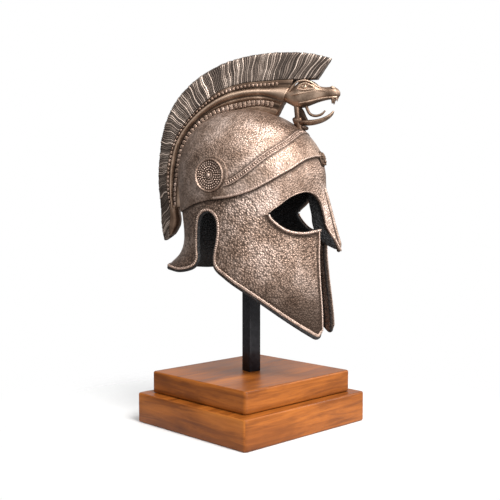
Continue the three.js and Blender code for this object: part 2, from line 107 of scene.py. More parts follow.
# Front-view curves, (y, z)
CHEEK_EDGE = [(18.5, 281), (19.5, 250), (24, 200), (28, 160), (32, 127), (36, 90)]
NOSE_EDGE = [(15.3, 283), (13.5, 276), (11.1, 268), (8.6, 262), (6.5, 257), (4, 250), (0, 243.5)]
# The back of the thick nose guard in side view, (x, z)
NOSE_BACK = [
    (82, 330), (86, 305), (88.8, 292.6), (90, 281), (95, 267), (105.2, 254.5), (113.5, 249.8), (121.5, 246),
]
NOSE_BACK_HALF = 8
NOSE_BACK_BOTTOM = 246.2
NOSE_BACK_TOP = 329
# The right eye as seen from 40 degrees off the side, (across, z)
EYE_VIEW = 40
EYE = [
    (-5.5, 294), (8.5, 306), (22.5, 316), (37.5, 321.5), (49, 322.4), (61.5, 318.5), (69.5, 310), (74, 297),
    (75.5, 276), (67, 273), (58.5, 271.5), (42, 269.5), (21, 272.5), (5.5, 281),
]

# The rim stands further in along the lower edges, over a rounded band in painted shade
RIM_MIDDLE = 4.3
TICK_STEP = 2.9
LOW_EDGE_TOP = 236
LOW_EDGE_FULL = 212
LOW_EDGE_WIDER = 2.2
# The diadem's border: where its middle lies, how far its ribs lie from that, and the step of its beads
BORDER_MIDDLE = 3.4
BORDER_HALF = 2.6
BORDER_STEP = 3.4
# The small rolled lip at the diadem's peak, (x, y, z), and its radius by y
APEX_LIP = [(76.2, -9, 411.4), (78.6, -5, 411.2), (80, 0, 410.6), (78.6, 5, 411.2), (76.2, 9, 411.4)]
APEX_LIP_RADIUS = [(-9, 1.0), (-5, 2.3), (0, 3.0), (5, 2.3), (9, 1.0)]

# Crest curves: radius about one centre, by angle from straight ahead
CREST_X = -10
CREST_Z = 340
CREST_FRONT = 52.3
CREST_END = 215
HOLDER_FRONT = 61.5
HOLDER_END = 200
BEADS_FRONT = 68
EGG_TALL = 0.31
EGG_STEP = 6.9
BEAD_STEP = 6.0
TAIL_START = 198
EGG_ROW = [
    (60, 118), (75, 114), (90, 109), (105, 107), (120, 105), (150, 104), (165, 101.5), (180, 102), (200, 109),
]
TUBE_ROW = [
    (60, 132), (75, 126.5), (90, 122.5), (105, 119.5), (120, 117), (150, 114), (165, 111), (180, 110),
    (200, 114),
]
HAIR_BASE = [
    (52, 172.5), (60, 157), (75, 141), (90, 134.5), (105, 130), (120, 123.5), (135, 120.5), (150, 120),
    (165, 118), (180, 117), (197, 118), (204, 122), (215, 138),
]
HAIR_EDGE = [
    (52, 207), (60, 198), (75, 182.5), (90, 173), (105, 167), (120, 161.5), (135, 155), (150, 145.5),
    (165, 136.5), (180, 133.5), (195, 135), (208, 145), (215, 151),
]
TAIL_INSIDE = [(198, 104), (201, 108), (209, 113), (215, 124)]
HAIR_BASE_HALF = 10.5
HAIR_EDGE_HALF = 6.5
HAIR_COLUMNS = 1150
# Strands and locks: how many, least and most width
STRANDS = (420, 1.6, 3.4)
LOCKS = (90, 8.0, 14.0)

# Rosette
ROSETTE = (-30, -79.5, 345.5)
ROSETTE_RADIUS = 24
ROSETTE_TURN = 12

# Stand
PLINTH_TURN = -25.7
TIER_ALONG = 220
TIER_ACROSS = 236
LOWER_HIGH = 41.5
UPPER_HIGH = 30.5
TIER_INSET = 15
TIER_EDGE = 2.5
TIER_CORNER = 3
POST_SIDE = 19
POST_TURN = -34
POST_CORNER = 1.5
# The post's round head, (radius, height)
POST_HEAD = [(4, 415), (30.5, 415), (32, 416), (32, 423), (28, 426), (18, 429), (4, 430.2)]
GAP = 0.3


# Curves

def through(points, x):
    """Smooth value at x through given points."""
    xs = np.array([p[0] for p in points], float)
    ys = np.array([p[1] for p in points], float)
    last = len(xs) - 1
    low = np.maximum(np.arange(last + 1) - 1, 0)
    high = np.minimum(np.arange(last + 1) + 1, last)
    slope = (ys[high] - ys[low]) / (xs[high] - xs[low])
    x = np.clip(np.asarray(x, float), xs[0], xs[-1])
    i = np.clip(np.searchsorted(xs, x, "right") - 1, 0, last - 1)
    span = xs[i + 1] - xs[i]
    t = (x - xs[i]) / span
    rise = ys[i + 1] - ys[i]
    a = slope[i] * span - rise
    b = -slope[i + 1] * span + rise
    return ys[i] + t * rise + t * (1 - t) * (a * (1 - t) + b * t)


def smooth_path(points, per_span=8, closed=False):
    """A finer path through given points."""
    p = np.array(points, float)
    n = len(p)
    out = []
    spans = n if closed else n - 1
    for k in range(spans):
        if closed:
            a, b, c, d = (p[(k + j - 1) % n] for j in range(4))
        else:
            a, b, c, d = p[max(k - 1, 0)], p[k], p[k + 1], p[min(k + 2, n - 1)]
        reach = np.linalg.norm(c - b)
        before = max(np.linalg.norm(b - a), 1e-6)
        after = max(np.linalg.norm(d - c), 1e-6)
        start = (c - a) / (before + reach) * reach
        end = (d - b) / (reach + after) * reach
        for t in np.arange(per_span) / per_span:
            h = (2 * t**3 - 3 * t**2 + 1, t**3 - 2 * t**2 + t, -2 * t**3 + 3 * t**2, t**3 - t**2)
            out.append(h[0] * b + h[1] * start + h[2] * c + h[3] * end)
    if not closed:
        out.append(p[-1])
    return np.array(out)


def reach_along(path):
    """How far along a path each of its points lies."""
    return np.concatenate([[0], np.cumsum(np.linalg.norm(np.diff(path, axis=0), axis=1))])


def resample(path, step):
    """The path with points one step apart along it."""
    path = np.asarray(path, float)
    reach = reach_along(path)
    count = max(int(round(reach[-1] / step)), 1)
    at = np.linspace(0, reach[-1], count + 1)
    return np.stack([np.interp(at, reach, path[:, k]) for k in range(path.shape[1])], -1)


def smoothstep(low, high, x):
    t = np.clip((np.asarray(x, float) - low) / (high - low), 0, 1)
    return t * t * (3 - 2 * t)


def bell(x, middle, width, power=2):
    """1 at the middle, falling away on both sides."""
    return np.exp(-(np.abs((x - middle) / width) ** power))


def signed_power(x, power):
    return np.sign(x) * np.abs(x) ** power


def circle(count):
    """Cosines and sines of even turns."""
    turns = 2 * np.pi * np.arange(count) / count
    return np.cos(turns), np.sin(turns)


def turned(points, degrees):
    """Points turned about the post's axis."""
    a = math.radians(degrees)
    return points @ np.array([[math.cos(a), math.sin(a), 0], [-math.sin(a), math.cos(a), 0], [0, 0, 1]])


def soft_min(a, b, k):
    """The lower of two values, rounded where they cross."""
    h = np.clip(0.5 + 0.5 * (b - a) / k, 0, 1)
    return b * (1 - h) + a * h - k * h * (1 - h)


def unit(v):
    return v / np.maximum(np.linalg.norm(v, axis=-1, keepdims=True), 1e-9)


def path_distance(px, pz, path):
    """Distance from each point to a path."""
    best = np.full(px.shape, 1e9)
    for a, b in zip(path, path[1:]):
        d = b - a
        long2 = max(d @ d, 1e-12)
        t = np.clip(((px - a[0]) * d[0] + (pz - a[1]) * d[1]) / long2, 0, 1)
        best = np.minimum(best, np.hypot(px - a[0] - t * d[0], pz - a[1] - t * d[1]))
    return best


def inside(px, pz, path):
    """True where a point lies inside a closed path."""
    odd = np.zeros(px.shape, bool)
    for a, b in zip(path, np.roll(path, -1, 0)):
        crosses = (a[1] > pz) != (b[1] > pz)
        slope = (b[0] - a[0]) / (b[1] - a[1]) if a[1] != b[1] else 0.0
        odd ^= crosses & (px < a[0] + slope * (pz - a[1]))
    return odd


def signed_distance(px, pz, path, outline):
    """Distance to a path, above zero inside the outline."""
    return path_distance(px, pz, path) * np.where(inside(px, pz, outline), 1, -1)


# Meshes

def make_mesh(name, vertices, faces, painted_shading, uvs=None):
    """A smooth mesh object from points in millimetres, with its painted shading value at each point."""
    mesh = bpy.data.meshes.new(name)
    mesh.from_pydata((np.asarray(vertices) * MM).tolist(), [], [list(map(int, f)) for f in faces])
    layer = mesh.attributes.new("painted_shading", "FLOAT", "POINT")
    layer.data.foreach_set("value", np.asarray(painted_shading, np.float32).ravel())
    if uvs is not None:
        layer = mesh.uv_layers.new(name="UVMap")
        layer.data.foreach_set("uv", np.asarray(uvs, np.float32).ravel())
    mesh.validate()
    mesh.polygons.foreach_set("use_smooth", [True] * len(mesh.polygons))
    obj = bpy.data.objects.new(name, mesh)
    bpy.context.scene.collection.objects.link(obj)
    return obj


def grid_faces(rows, columns, flip=False):
    """Quads between closed rings of points."""
    faces = []
    for r in range(rows - 1):
        for k in range(columns):
            a = r * columns + k
            b = r * columns + (k + 1) % columns
            quad = (a, b, b + columns, a + columns)
            faces.append(quad[::-1] if flip else quad)
    return faces


class Soup:
    """Gathers vertices, faces and a painted shading value into one mesh."""

    def __init__(self):
        self.vertices = []
        self.faces = []
        self.painted_shading = []
        self.count = 0

    def add(self, vertices, faces, painted_shading=0.0):
        vertices = np.asarray(vertices, float).reshape(-1, 3)
        self.vertices.append(vertices)
        self.faces.extend([tuple(i + self.count for i in f) for f in faces])
        self.painted_shading.append(np.broadcast_to(np.asarray(painted_shading, float), (len(vertices),)))
        self.count += len(vertices)

    def loft(self, rings, painted_shading=0.0, flip=False):
        """Joins closed rings into one body, with a fan of triangles over each end."""
        rings = np.asarray(rings, float)
        rows, columns = rings.shape[:2]
        faces = grid_faces(rows, columns, flip)
        total = rows * columns
        for start, pole, backwards in ((0, total, not flip), (total - columns, total + 1, flip)):
            for k in range(columns):
                face = (pole, start + k, start + (k + 1) % columns)
                faces.append(face[::-1] if backwards else face)
        points = np.concatenate([rings.reshape(-1, 3), rings[:1].mean(1), rings[-1:].mean(1)])
        if np.ndim(painted_shading):
            painted_shading = np.concatenate([np.asarray(painted_shading, float).ravel(), [0, 0]])
        self.add(points, faces, painted_shading)

    def build(self, name):
        return make_mesh(name, np.concatenate(self.vertices), self.faces, np.concatenate(self.painted_shading))


def ball_template(around, levels):
    """Unit ball with its poles along Z."""
    points = [(0, 0, 1)]
    for j in range(1, levels):
        polar = math.pi * j / levels
        for k in range(around):
            turn = 2 * math.pi * k / around
            reach = math.sin(polar)
            points.append((reach * math.cos(turn), reach * math.sin(turn), math.cos(polar)))
    points.append((0, 0, -1))
    faces = [(0, 1 + k, 1 + (k + 1) % around) for k in range(around)]
    for j in range(levels - 2):
        for k in range(around):
            a = 1 + j * around + k
            b = 1 + j * around + (k + 1) % around
            faces.append((a, a + around, b + around, b))
    low = 1 + (levels - 2) * around
    faces += [(len(points) - 1, low + (k + 1) % around, low + k) for k in range(around)]
    return np.array(points, float), faces


def add_beads(soup, row, size, painted_shading=-0.3, around=10, levels=6, blocky=1.0):
    """One bead at each place of a row, given as centres, normals and directions.

    The size is half its length along the row, half its width across it and its height off the surface.
    Below 1, blocky makes the beads squarer.
    """
    points, faces = ball_template(around, levels)
    points = signed_power(points, blocky)
    centres, normals, tangents = (np.asarray(part, float) for part in row)
    across = unit(np.cross(normals, tangents))
    tangents = unit(np.cross(across, normals))
    sizes = [np.broadcast_to(np.asarray(part, float), (len(centres),)) for part in size]
    for i in range(len(centres)):
        local = (
            points[:, 0:1] * sizes[0][i] * tangents[i]
            + points[:, 1:2] * sizes[1][i] * across[i]
            + points[:, 2:3] * sizes[2][i] * normals[i]
        )
        # Darker on each bead's lower part, at its foot: painted shade.
        soup.add(centres[i] + local, faces, painted_shading + 0.9 * (points[:, 2] < 0.15))


def add_tube(soup, path, radius, painted_shading=0.0, around=10):
    """A tube along a path, with one radius or one at each point."""
    path = np.asarray(path, float)
    radius = np.broadcast_to(np.asarray(radius, float), (len(path),))[:, None, None]
    tangent = unit(np.gradient(path, axis=0))
    across = unit(np.cross(np.broadcast_to((0, 1, 0), path.shape), tangent))
    other = unit(np.cross(tangent, across))
    c, s = circle(around)
    ring = c[None, :, None] * across[:, None] * radius + s[None, :, None] * other[:, None] * radius
    soup.loft(path[:, None] + ring, painted_shading)


# Helmet surface

def section(z, inset=0.0):
    """Front, back, half width, roundness and middle of the section at each height."""
    z = np.asarray(z, float)
    level = np.minimum(z, BROW_HEIGHT)
    columns = [through([(row[0], row[k]) for row in SHELL_ROWS], level) for k in range(1, 5)]
    front, back, wide, power = columns
    h = np.clip((z - BROW_HEIGHT) / (CROWN_HEIGHT - inset - BROW_HEIGHT), 0, 1)
    middle = CROWN_SHIFT * h
    shrink = [np.maximum(1 - h**p, 0) ** (1 / p) for p in (DOME_FRONT, DOME_BACK, DOME_SIDE)]
    front = middle + (front - inset - middle) * shrink[0]
    back = middle + (back + inset - middle) * shrink[1]
    wide = (wide - inset) * shrink[2]
    power = power + (2 - power) * np.minimum(3 * h, 1)
    return front, back, wide, power, middle


def nose_out(y, z):
    drop = np.clip((NOSE_START - z) / (NOSE_START - NOSE_END), 0, 1.15)
    return NOSE_OUT * drop * np.maximum(1 - (y / NOSE_WIDE) ** 2, 0)


def surface(phi, z, inset=0.0):
    front, back, wide, power, middle = section(z, inset)
    c = np.cos(phi)
    s = np.sin(phi)
    ahead = c >= 0
    n = np.where(ahead, power, ROUND_BACK)
    y = wide * signed_power(s, 2 / n)
    x = middle + np.where(ahead, front - middle, back - middle) * np.abs(c) ** (2 / n)
    x = x + np.where(ahead, nose_out(y, z) * np.minimum(1, c * 20), 0)
    return np.stack(np.broadcast_arrays(x, y, np.asarray(z, float)), -1)


def eye_view(x, y):
    """How far across and how far out a place lies, as seen straight on to the eye of its side."""
    a = math.radians(EYE_VIEW)
    half = np.abs(y)
    return x * math.cos(a) - half * math.sin(a), x * math.sin(a) + half * math.cos(a)


class Skin:
    """The helmet's surface as a fine grid, with the distance to each of its edges and lines."""

    around = 320
    step = 2.0
    dome_steps = 70

    def __init__(self):
        low = np.arange(120, BROW_HEIGHT, self.step)
        climb = np.linspace(0, math.radians(88.6), self.dome_steps)
        z = np.concatenate([low, BROW_HEIGHT + (CROWN_HEIGHT - BROW_HEIGHT) * np.sin(climb)])
        turn = 2 * np.pi * np.arange(self.around) / self.around
        phi = turn - 0.25 * np.sin(turn)
        self.place = surface(phi[None, :], z[:, None])
        self.du = np.roll(self.place, -1, 1) - np.roll(self.place, 1, 1)
        self.dv = np.gradient(self.place, axis=0) * 2
        self.normal = unit(np.cross(self.du, self.dv))
        x, y, z = self.place[..., 0], self.place[..., 1], self.place[..., 2]
        self.x, self.y, self.z = x, y, z
        edge = smooth_path(CHEEK_AND_NECK_EDGE)
        above = np.concatenate([edge, [(-160, 500), (160, 500)]])
        self.side = self.true_distance(signed_distance(x, z, edge, above))
        self.eye = self.true_distance(self.eye_distance())
        self.slit = self.true_distance(self.slit_distance())
        self.ledge = self.line_distance(LEDGE_LINE)
        self.diadem_top = -self.line_distance(DIADEM_TOP)
        self.rim = soft_min(self.side, self.slit, 9)
        self.edge = soft_min(self.rim, self.eye, 2.5)
        self.brow = self.brow_distance()

    def slopes(self, field):
        """How fast a field changes per millimetre round and up the surface."""
        long_u = np.maximum(np.linalg.norm(self.du, axis=-1), 1e-6)
        long_v = np.maximum(np.linalg.norm(self.dv, axis=-1), 1e-6)
        gu = (np.roll(field, -1, 1) - np.roll(field, 1, 1)) / long_u
        gv = np.gradient(field, axis=0) * 2 / long_v
        return gu, gv

    def true_distance(self, field):
        """A distance seen in one view, turned into the distance along the surface."""
        gu, gv = self.slopes(field)
        return field / np.clip(np.hypot(gu, gv), 0.35, 1.0)

    def gradient(self, field):
        gu, gv = self.slopes(field)
        return unit(gu[..., None] * unit(self.du) + gv[..., None] * unit(self.dv))

    def line_distance(self, line):
        """Above the line is positive."""
        path = smooth_path(line)
        above = np.concatenate([path, [(200, 600), (-200, 600)]])
        return self.true_distance(signed_distance(self.x, self.z, path, above))

    def eye_distance(self):
        across, outward = eye_view(self.x, self.y)
        path = smooth_path(EYE, closed=True)
        ring = np.concatenate([path, path[:1]])
        return np.where(outward > 25, -signed_distance(across, self.z, ring, path), 60.0)

    def slit_distance(self):
        half = np.abs(self.y)
        drawn = np.concatenate([smooth_path(CHEEK_EDGE)[::-1], smooth_path(NOSE_EDGE)])
        outline = np.concatenate([drawn, [(-1, 243.5), (-1, 90)]])
        return np.where(self.x > 55, -signed_distance(half, self.z, drawn, outline), 60.0)

    def brow_distance(self):
        path = smooth_path(BROW_PLATE_EDGE)
        above = np.concatenate([path, [(200, 225), (200, 420), (6, 420)]])
        distance = signed_distance(self.x, self.z, path, above)
        return np.minimum(self.true_distance(distance), self.edge - 1.6)


class Cut:
    """The part of the skin's grid where a field is above zero, with its border points."""

    def __init__(self, skin, field):
        rows, columns = field.shape
        index = np.arange(rows * columns).reshape(rows, columns)
        beside = np.roll(index, -1, 1)
        corners = np.stack([index[:-1], beside[:-1], beside[1:], index[1:]], -1).reshape(-1, 4)
        flat = field.ravel()
        above = flat[corners] > 0
        count = above.sum(1)
        self.faces = [tuple(q) for q in corners[count == 4]]
        self.segments = []
        self.pairs = []
        ids = {}
        total = rows * columns

        def crossing(p, q):
            key = (min(p, q), max(p, q))
            if key not in ids:
                ids[key] = total + len(ids)
                t = flat[key[0]] / (flat[key[0]] - flat[key[1]])
                self.pairs.append((key[0], key[1], t))
            return ids[key]

        for quad in corners[(count > 0) & (count < 4)]:
            face = []
            leaving = None
            first_entry = None
            for k in range(4):
                p, q = int(quad[k]), int(quad[(k + 1) % 4])
                if flat[p] > 0:
                    face.append(p)
                if (flat[p] > 0) != (flat[q] > 0):
                    new = crossing(p, q)
                    face.append(new)
                    if flat[p] > 0:
                        leaving = new
                    elif leaving is not None:
                        self.segments.append((leaving, new))
                        leaving = None
                    else:
                        first_entry = new
            if leaving is not None and first_entry is not None:
                self.segments.append((leaving, first_entry))
            self.faces.append(tuple(face))
        self.pairs = np.array(self.pairs) if self.pairs else np.zeros((0, 3))
        self.total = total
        self.place = self.values(skin.place)
        self.normal = unit(self.values(skin.normal))
        self.across = unit(self.values(skin.gradient(field)))
        self.border = np.array(sorted({i for s in self.segments for i in s}), int)
        self.slot = {int(v): k for k, v in enumerate(self.border)}

    def values(self, grid):
        """A grid's values, with those of the border points after them."""
        flat = np.asarray(grid, float).reshape(self.total, -1)
        a = self.pairs[:, 0].astype(int)
        b = self.pairs[:, 1].astype(int)
        t = self.pairs[:, 2:3]
        return np.concatenate([flat, flat[a] * (1 - t) + flat[b] * t])

    def one(self, grid):
        return self.values(grid)[:, 0]

    def skirt(self, base, rings, second=None):
        """Quads from the border out through rings of points, and on to a second sheet's border."""
        faces = []
        wide = len(self.border)
        for leave, enter in self.segments:
            a, b = self.slot[leave], self.slot[enter]
            pairs = [(leave, enter)] + [(base + k * wide + a, base + k * wide + b) for k in range(rings)]
            if second is not None:
                pairs.append((leave + second, enter + second))
            faces += [(p[1], p[0], q[0], q[1]) for p, q in zip(pairs, pairs[1:])]
        return faces

    def chains(self):
        """The border as runs of points in order."""
        after = dict(self.segments)
        starts = set(after) - set(after.values())
        runs = []
        left = set(after)
        for start in list(starts) + list(after):
            if start not in left:
                continue
            run = [start]
            left.discard(start)
            while run[-1] in after:
                step = after[run[-1]]
                run.append(step)
                if step not in left:
                    break
                left.discard(step)
            runs.append(run)
        return runs


def compact(name, vertices, faces, painted_shading):
    """Builds a mesh from only the points that its faces use."""
    used = np.unique(np.concatenate([np.asarray(f) for f in faces]))
    where = np.full(len(vertices), -1)
    where[used] = np.arange(len(used))
    return make_mesh(name, vertices[used], [tuple(where[list(f)]) for f in faces], painted_shading[used])


def skin_patch(skin, name, field, inset, radius, drop, painted_shading, crown=False):
    """A raised patch of the skin with a rounded border that goes down into what lies below it."""
    cut = Cut(skin, field - radius)
    border = cut.border
    vertices = [cut.place - cut.normal * inset]
    shades = [cut.one(painted_shading)]
    steps = 4
    # The border darkens as it turns down to what lies below: painted shade.
    rings = []
    for k in range(1, steps + 1):
        turn = 0.5 * math.pi * k / steps
        rings.append((radius * math.sin(turn), inset + radius * (1 - math.cos(turn)), 0.1 * k))
    rings.append((radius, inset + drop, 0.9))
    for reach, deep, dark in rings:
        vertices.append(cut.place[border] - cut.across[border] * reach - cut.normal[border] * deep)
        shades.append(np.full(len(border), dark))
    faces = cut.faces + cut.skirt(len(cut.place), len(rings))
    if crown:
        rows, columns = skin.x.shape
        start = (rows - 1) * columns
        pole = sum(len(part) for part in vertices)
        vertices.append([[CROWN_SHIFT, 0, CROWN_HEIGHT - inset]])
        shades.append([0])
        faces += [(start + k, start + (k + 1) % columns, pole) for k in range(columns)]
    return compact(name, np.concatenate(vertices), faces, np.concatenate(shades))


def shell_body(skin, name):
    """The cheeks, neck guard and nose guard with their round edges, and the whole inside."""
    half = 0.5 * (INNER_INSET - PLATE_INSET)
    cut = Cut(skin, skin.edge - half)
    border = cut.border
    height = cut.place[:, 2]
    ledge, side, slit, eye = (cut.one(field) for field in (skin.ledge, skin.side, skin.slit, skin.eye))
    # Painted shade on the outer plate: under the diadem's ledge, beside the rim, in the groove by the slit,
    # under the lower lids, darker towards the bottom, and black along the lower edges.
    low = smoothstep(LOW_EDGE_TOP, LOW_EDGE_FULL, height)
    plate_shade = (
        1.6 * np.exp(np.minimum(ledge, 0) / 2.6)
        + 0.6 * bell(side, 7.4 + LOW_EDGE_WIDER * low, 1.2, 1)
        + 1.5 * bell(slit, 4.5, 1.2) * (side > 5)
        + 1.6 * bell(eye, 5.2, 2.0) * lower_lid(cut.place)
        + 0.95 * smoothstep(250, 150, height)
    )
    plate_shade = np.clip(plate_shade, 0, 1) + smoothstep(LOW_EDGE_WIDER + 2.6, LOW_EDGE_WIDER + 1.4, side) * low
    bare = smoothstep(24, 14, slit) * smoothstep(262, 248, height)
    count = len(cut.place)
    faces = [f for f in cut.faces if ledge[list(f)].min() < 6]
    faces += [tuple(i + count for i in reversed(f)) for f in cut.faces]
    vertices = [cut.place - cut.normal * PLATE_INSET, cut.place - cut.normal * INNER_INSET]
    shades = [plate_shade, FULL_BLACK - 1.9 * bare]
    # The rounded edge is black along the lower edges and ear slots: painted shade on the lower edges, the
    # inside's black round the slots. Elsewhere it darkens as it turns in, painted shade, until black inside,
    # which is painted.
    middle = cut.place[border] - cut.normal[border] * 0.5 * (PLATE_INSET + INNER_INSET)
    painted = side[border] < slit[border] - 0.5
    steps = 8
    for k in range(1, steps):
        turn = math.pi * k / steps
        out = cut.normal[border] * math.cos(turn) - cut.across[border] * math.sin(turn)
        vertices.append(middle + half * out)
        shades.append(np.where(painted, FULL_BLACK, -0.1 if k < 3 else min(0.3 * k, FULL_BLACK)))
    faces += cut.skirt(2 * count, steps - 1, count)
    rows, columns = skin.x.shape
    start = (rows - 1) * columns + count
    pole = sum(len(part) for part in vertices)
    vertices.append([[CROWN_SHIFT, 0, CROWN_HEIGHT - INNER_INSET]])
    shades.append([FULL_BLACK])
    faces += [(start + (k + 1) % columns, start + k, pole) for k in range(columns)]
    return compact(name, np.concatenate(vertices), faces, np.concatenate(shades))


def skin_rib(skin, soup, field, level, inset, wide, high, keep=None, lift=None, shape=2.0, painted_shading=-0.5, steps=6,
             within=None):
    """A raised rib of the skin along a line where a field has one value, and another is above zero."""
    cut = Cut(skin, field - level)
    border = cut.border
    count = len(border)
    base = cut.place[border]
    scale = np.ones(count) if lift is None else lift(base)
    wanted = np.ones(count, bool) if keep is None else keep(base)
    if within is not None:
        wanted &= cut.one(within)[border] > 0
    reach = wide * np.sqrt(np.maximum(scale, 0.05))
    rings = []
    for k in range(steps + 1):
        w = math.cos(math.pi * k / steps)
        rise = max(1 - abs(w) ** shape, 0) ** (1 / shape) * high * scale - inset - RIB_SUNK
        rings.append(base + cut.across[border] * (w * reach)[:, None] + cut.normal[border] * rise[:, None])
    faces = []
    for leave, enter in cut.segments:
        a, b = cut.slot[leave], cut.slot[enter]
        if wanted[a] and wanted[b]:
            faces += [
                (k * count + a, k * count + b, (k + 1) * count + b, (k + 1) * count + a) for k in range(steps)
            ]
    if faces:
        # Darker at both feet of the rib: painted shade in the crease. A shading value below zero makes the
        # rib lighter: rubbed metal and painted highlight.
        shades = [np.full(count, painted_shading + 0.9 * (k in (0, steps))) for k in range(steps + 1)]
        soup.add(np.concatenate(rings), faces, np.concatenate(shades))


def skin_row(skin, field, level, step, keep, sink):
    """Places, normals and directions of beads one step apart along a line of the skin, sunk by so much."""
    cut = Cut(skin, field - level)
    row = []
    for run in cut.chains():
        if len(run) < 4:
            continue
        both = resample(np.concatenate([cut.place[run], cut.normal[run]], 1), step)
        points = both[:, :3]
        normals = unit(both[:, 3:])
        along = np.tile((1.0, 0, 0), (len(points), 1))
        if len(points) > 1:
            along = unit(np.gradient(points, axis=0))
        mask = keep(points)
        row.append((points[mask] - normals[mask] * sink, normals[mask], along[mask]))
    return [np.concatenate(part) for part in zip(*row)]


# Materials

FULL_BLACK_COLOR = (0.004, 0.004, 0.005)
BRONZE_METALLIC = 0.85


def grey(value):
    return (value, value, value)


class Graph:
    """Adds nodes to a node tree and joins them up."""

    def __init__(self, tree):
        self.nodes = tree.nodes
        self.links = tree.links

    def put(self, socket, value):
        """Joins an output to a socket, or sets the socket's constant value."""
        if isinstance(value, bpy.types.NodeSocket):
            self.links.new(value, socket)
        elif socket.type == "RGBA":
            socket.default_value = (*value, 1)
        else:
            socket.default_value = value

    def fill(self, node, inputs):
        for key, value in inputs.items():
            self.put(node.inputs[key], value)

    def add(self, kind, inputs, operation=None):
        node = self.nodes.new(kind)
        if operation is not None:
            node.operation = operation
        self.fill(node, inputs)
        return node

    def coords(self, kind):
        return self.nodes.new("ShaderNodeTexCoord").outputs[kind]

    def painted_shading(self):
        node = self.nodes.new("ShaderNodeAttribute")
        node.attribute_name = "painted_shading"
        return node.outputs["Fac"]

    def noise(self, coords, scale, detail=4.0, roughness=0.55, distortion=0.0):
        inputs = {
            "Vector": coords, "Scale": scale, "Detail": detail, "Roughness": roughness,
            "Distortion": distortion,
        }
        return self.add("ShaderNodeTexNoise", inputs).outputs["Fac"]

    def stretched(self, coords, scale):
        return self.add("ShaderNodeMapping", {"Vector": coords, "Scale": scale}).outputs[0]

    def ramp(self, value, stops):
        node = self.add("ShaderNodeValToRGB", {"Fac": value})
        while len(node.color_ramp.elements) < len(stops):
            node.color_ramp.elements.new(0.5)
        for element, (place, color) in zip(node.color_ramp.elements, stops):
            element.position = place
            element.color = (*color, 1) if isinstance(color, tuple) else (*grey(color), 1)
        return node.outputs["Color"]

    def math(self, kind, a, b, clamp=False):
        node = self.add("ShaderNodeMath", {0: a, 1: b}, kind)
        node.use_clamp = clamp
        return node.outputs[0]

    def times(self, a, b, clamp=False):
        return self.math("MULTIPLY", a, b, clamp)

    def blend(self, a, share_a, b, share_b):
        return self.math("ADD", self.times(a, share_a), self.times(b, share_b))

    def mix(self, factor, a, b, blend="MIX"):
        node = self.nodes.new("ShaderNodeMix")
        node.data_type = "RGBA"
        node.blend_type = blend
        self.fill(node, {0: factor, 6: a, 7: b})
        return node.outputs[2]

    def bump(self, height, strength, distance, normal=None):
        inputs = {"Strength": strength, "Distance": distance, "Height": height}
        if normal is not None:
            inputs["Normal"] = normal
        return self.add("ShaderNodeBump", inputs).outputs["Normal"]


def new_material(name):
    """A material, its graph and its shader."""
    material = bpy.data.materials.new(name)
    material.use_nodes = True
    graph = Graph(material.node_tree)
    graph.nodes.clear()
    shader = graph.nodes.new("ShaderNodeBsdfPrincipled")
    graph.add("ShaderNodeOutputMaterial", {0: shader.outputs[0]})
    return material, graph, shader


def bronze(name, dark, middle, light, hammer, roughness, cell=3.6):
    """Patinated bronze with hammered dimples: painted shade in its recesses and dimples, rubbed metal and
    painted highlight on what stands up.

    The shading value is below 0 for rubbed metal and painted highlight, up to 1 for painted shade, and 2
    where it is black: the painted inside, and painted shade along the lower edges.
    """
    material, graph, shader = new_material(name)
    coords = graph.coords("Object")
    painted_shading = graph.painted_shading()
    cloud = graph.noise(coords, 22, 4, 0.55)
    patch = graph.noise(coords, 95, 4, 0.6, 0.5)
    fine = graph.noise(coords, 620, 3, 0.6)
    wobble = graph.add("ShaderNodeTexNoise", {"Vector": coords, "Scale": 170, "Detail": 2}).outputs["Color"]
    scaled = graph.add("ShaderNodeVectorMath", {"Scale": 0.003, 0: wobble}, "SCALE").outputs[0]
    shift = graph.add("ShaderNodeVectorMath", {0: coords, 1: scaled}, "ADD").outputs[0]
    cells = graph.add("ShaderNodeTexVoronoi", {"Scale": 1000 / cell, "Vector": shift}).outputs["Distance"]
    relief = graph.math("ADD", cells, graph.times(fine, 0.3))
    tone = graph.ramp(graph.blend(cloud, 0.75, patch, 0.25), [(0.36, dark), (0.5, middle), (0.66, light)])
    deep = tuple(0.2 * c for c in dark)
    # Painted shade at the dimples' edges and painted highlight in their middles, on top of the bump.
    gaps = graph.ramp(relief, [(0.45, 0.0), (0.65, 0.35), (0.9, 0.8)])
    peaks = graph.ramp(relief, [(0.2, 1.0), (0.5, 0.0)])
    # Below zero: rubbed metal with painted highlight; above zero: painted shade; above one: black, the
    # painted inside and painted shade on the lower edges.
    rub_and_highlight = graph.times(painted_shading, -1.0, clamp=True)
    sunk = graph.times(painted_shading, 1.0, clamp=True)
    blackness = graph.math("SUBTRACT", painted_shading, 1.0, clamp=True)
    color = graph.mix(graph.times(gaps, hammer), tone, deep)
    color = graph.mix(graph.times(peaks, 0.3 * hammer), color, light)
    color = graph.mix(graph.times(rub_and_highlight, 0.85), color, light)
    color = graph.mix(graph.times(sunk, 0.95), color, deep)
    rough = graph.ramp(patch, [(0.3, roughness - 0.06), (0.7, roughness + 0.08)])
    normal = graph.bump(fine, 0.25, 0.0004)
    if hammer > 0:
        normal = graph.bump(graph.times(relief, -1.0), hammer, 0.0015, normal)
    else:
        normal = graph.bump(patch, 0.3, 0.0008, normal)
    graph.fill(shader, {
        "Base Color": graph.mix(blackness, color, FULL_BLACK_COLOR),
        "Roughness": graph.math("ADD", rough, graph.times(sunk, 0.2), clamp=True),
        "Metallic": graph.math("SUBTRACT", BRONZE_METALLIC, blackness, clamp=True),
        "Normal": normal,
    })
    return material


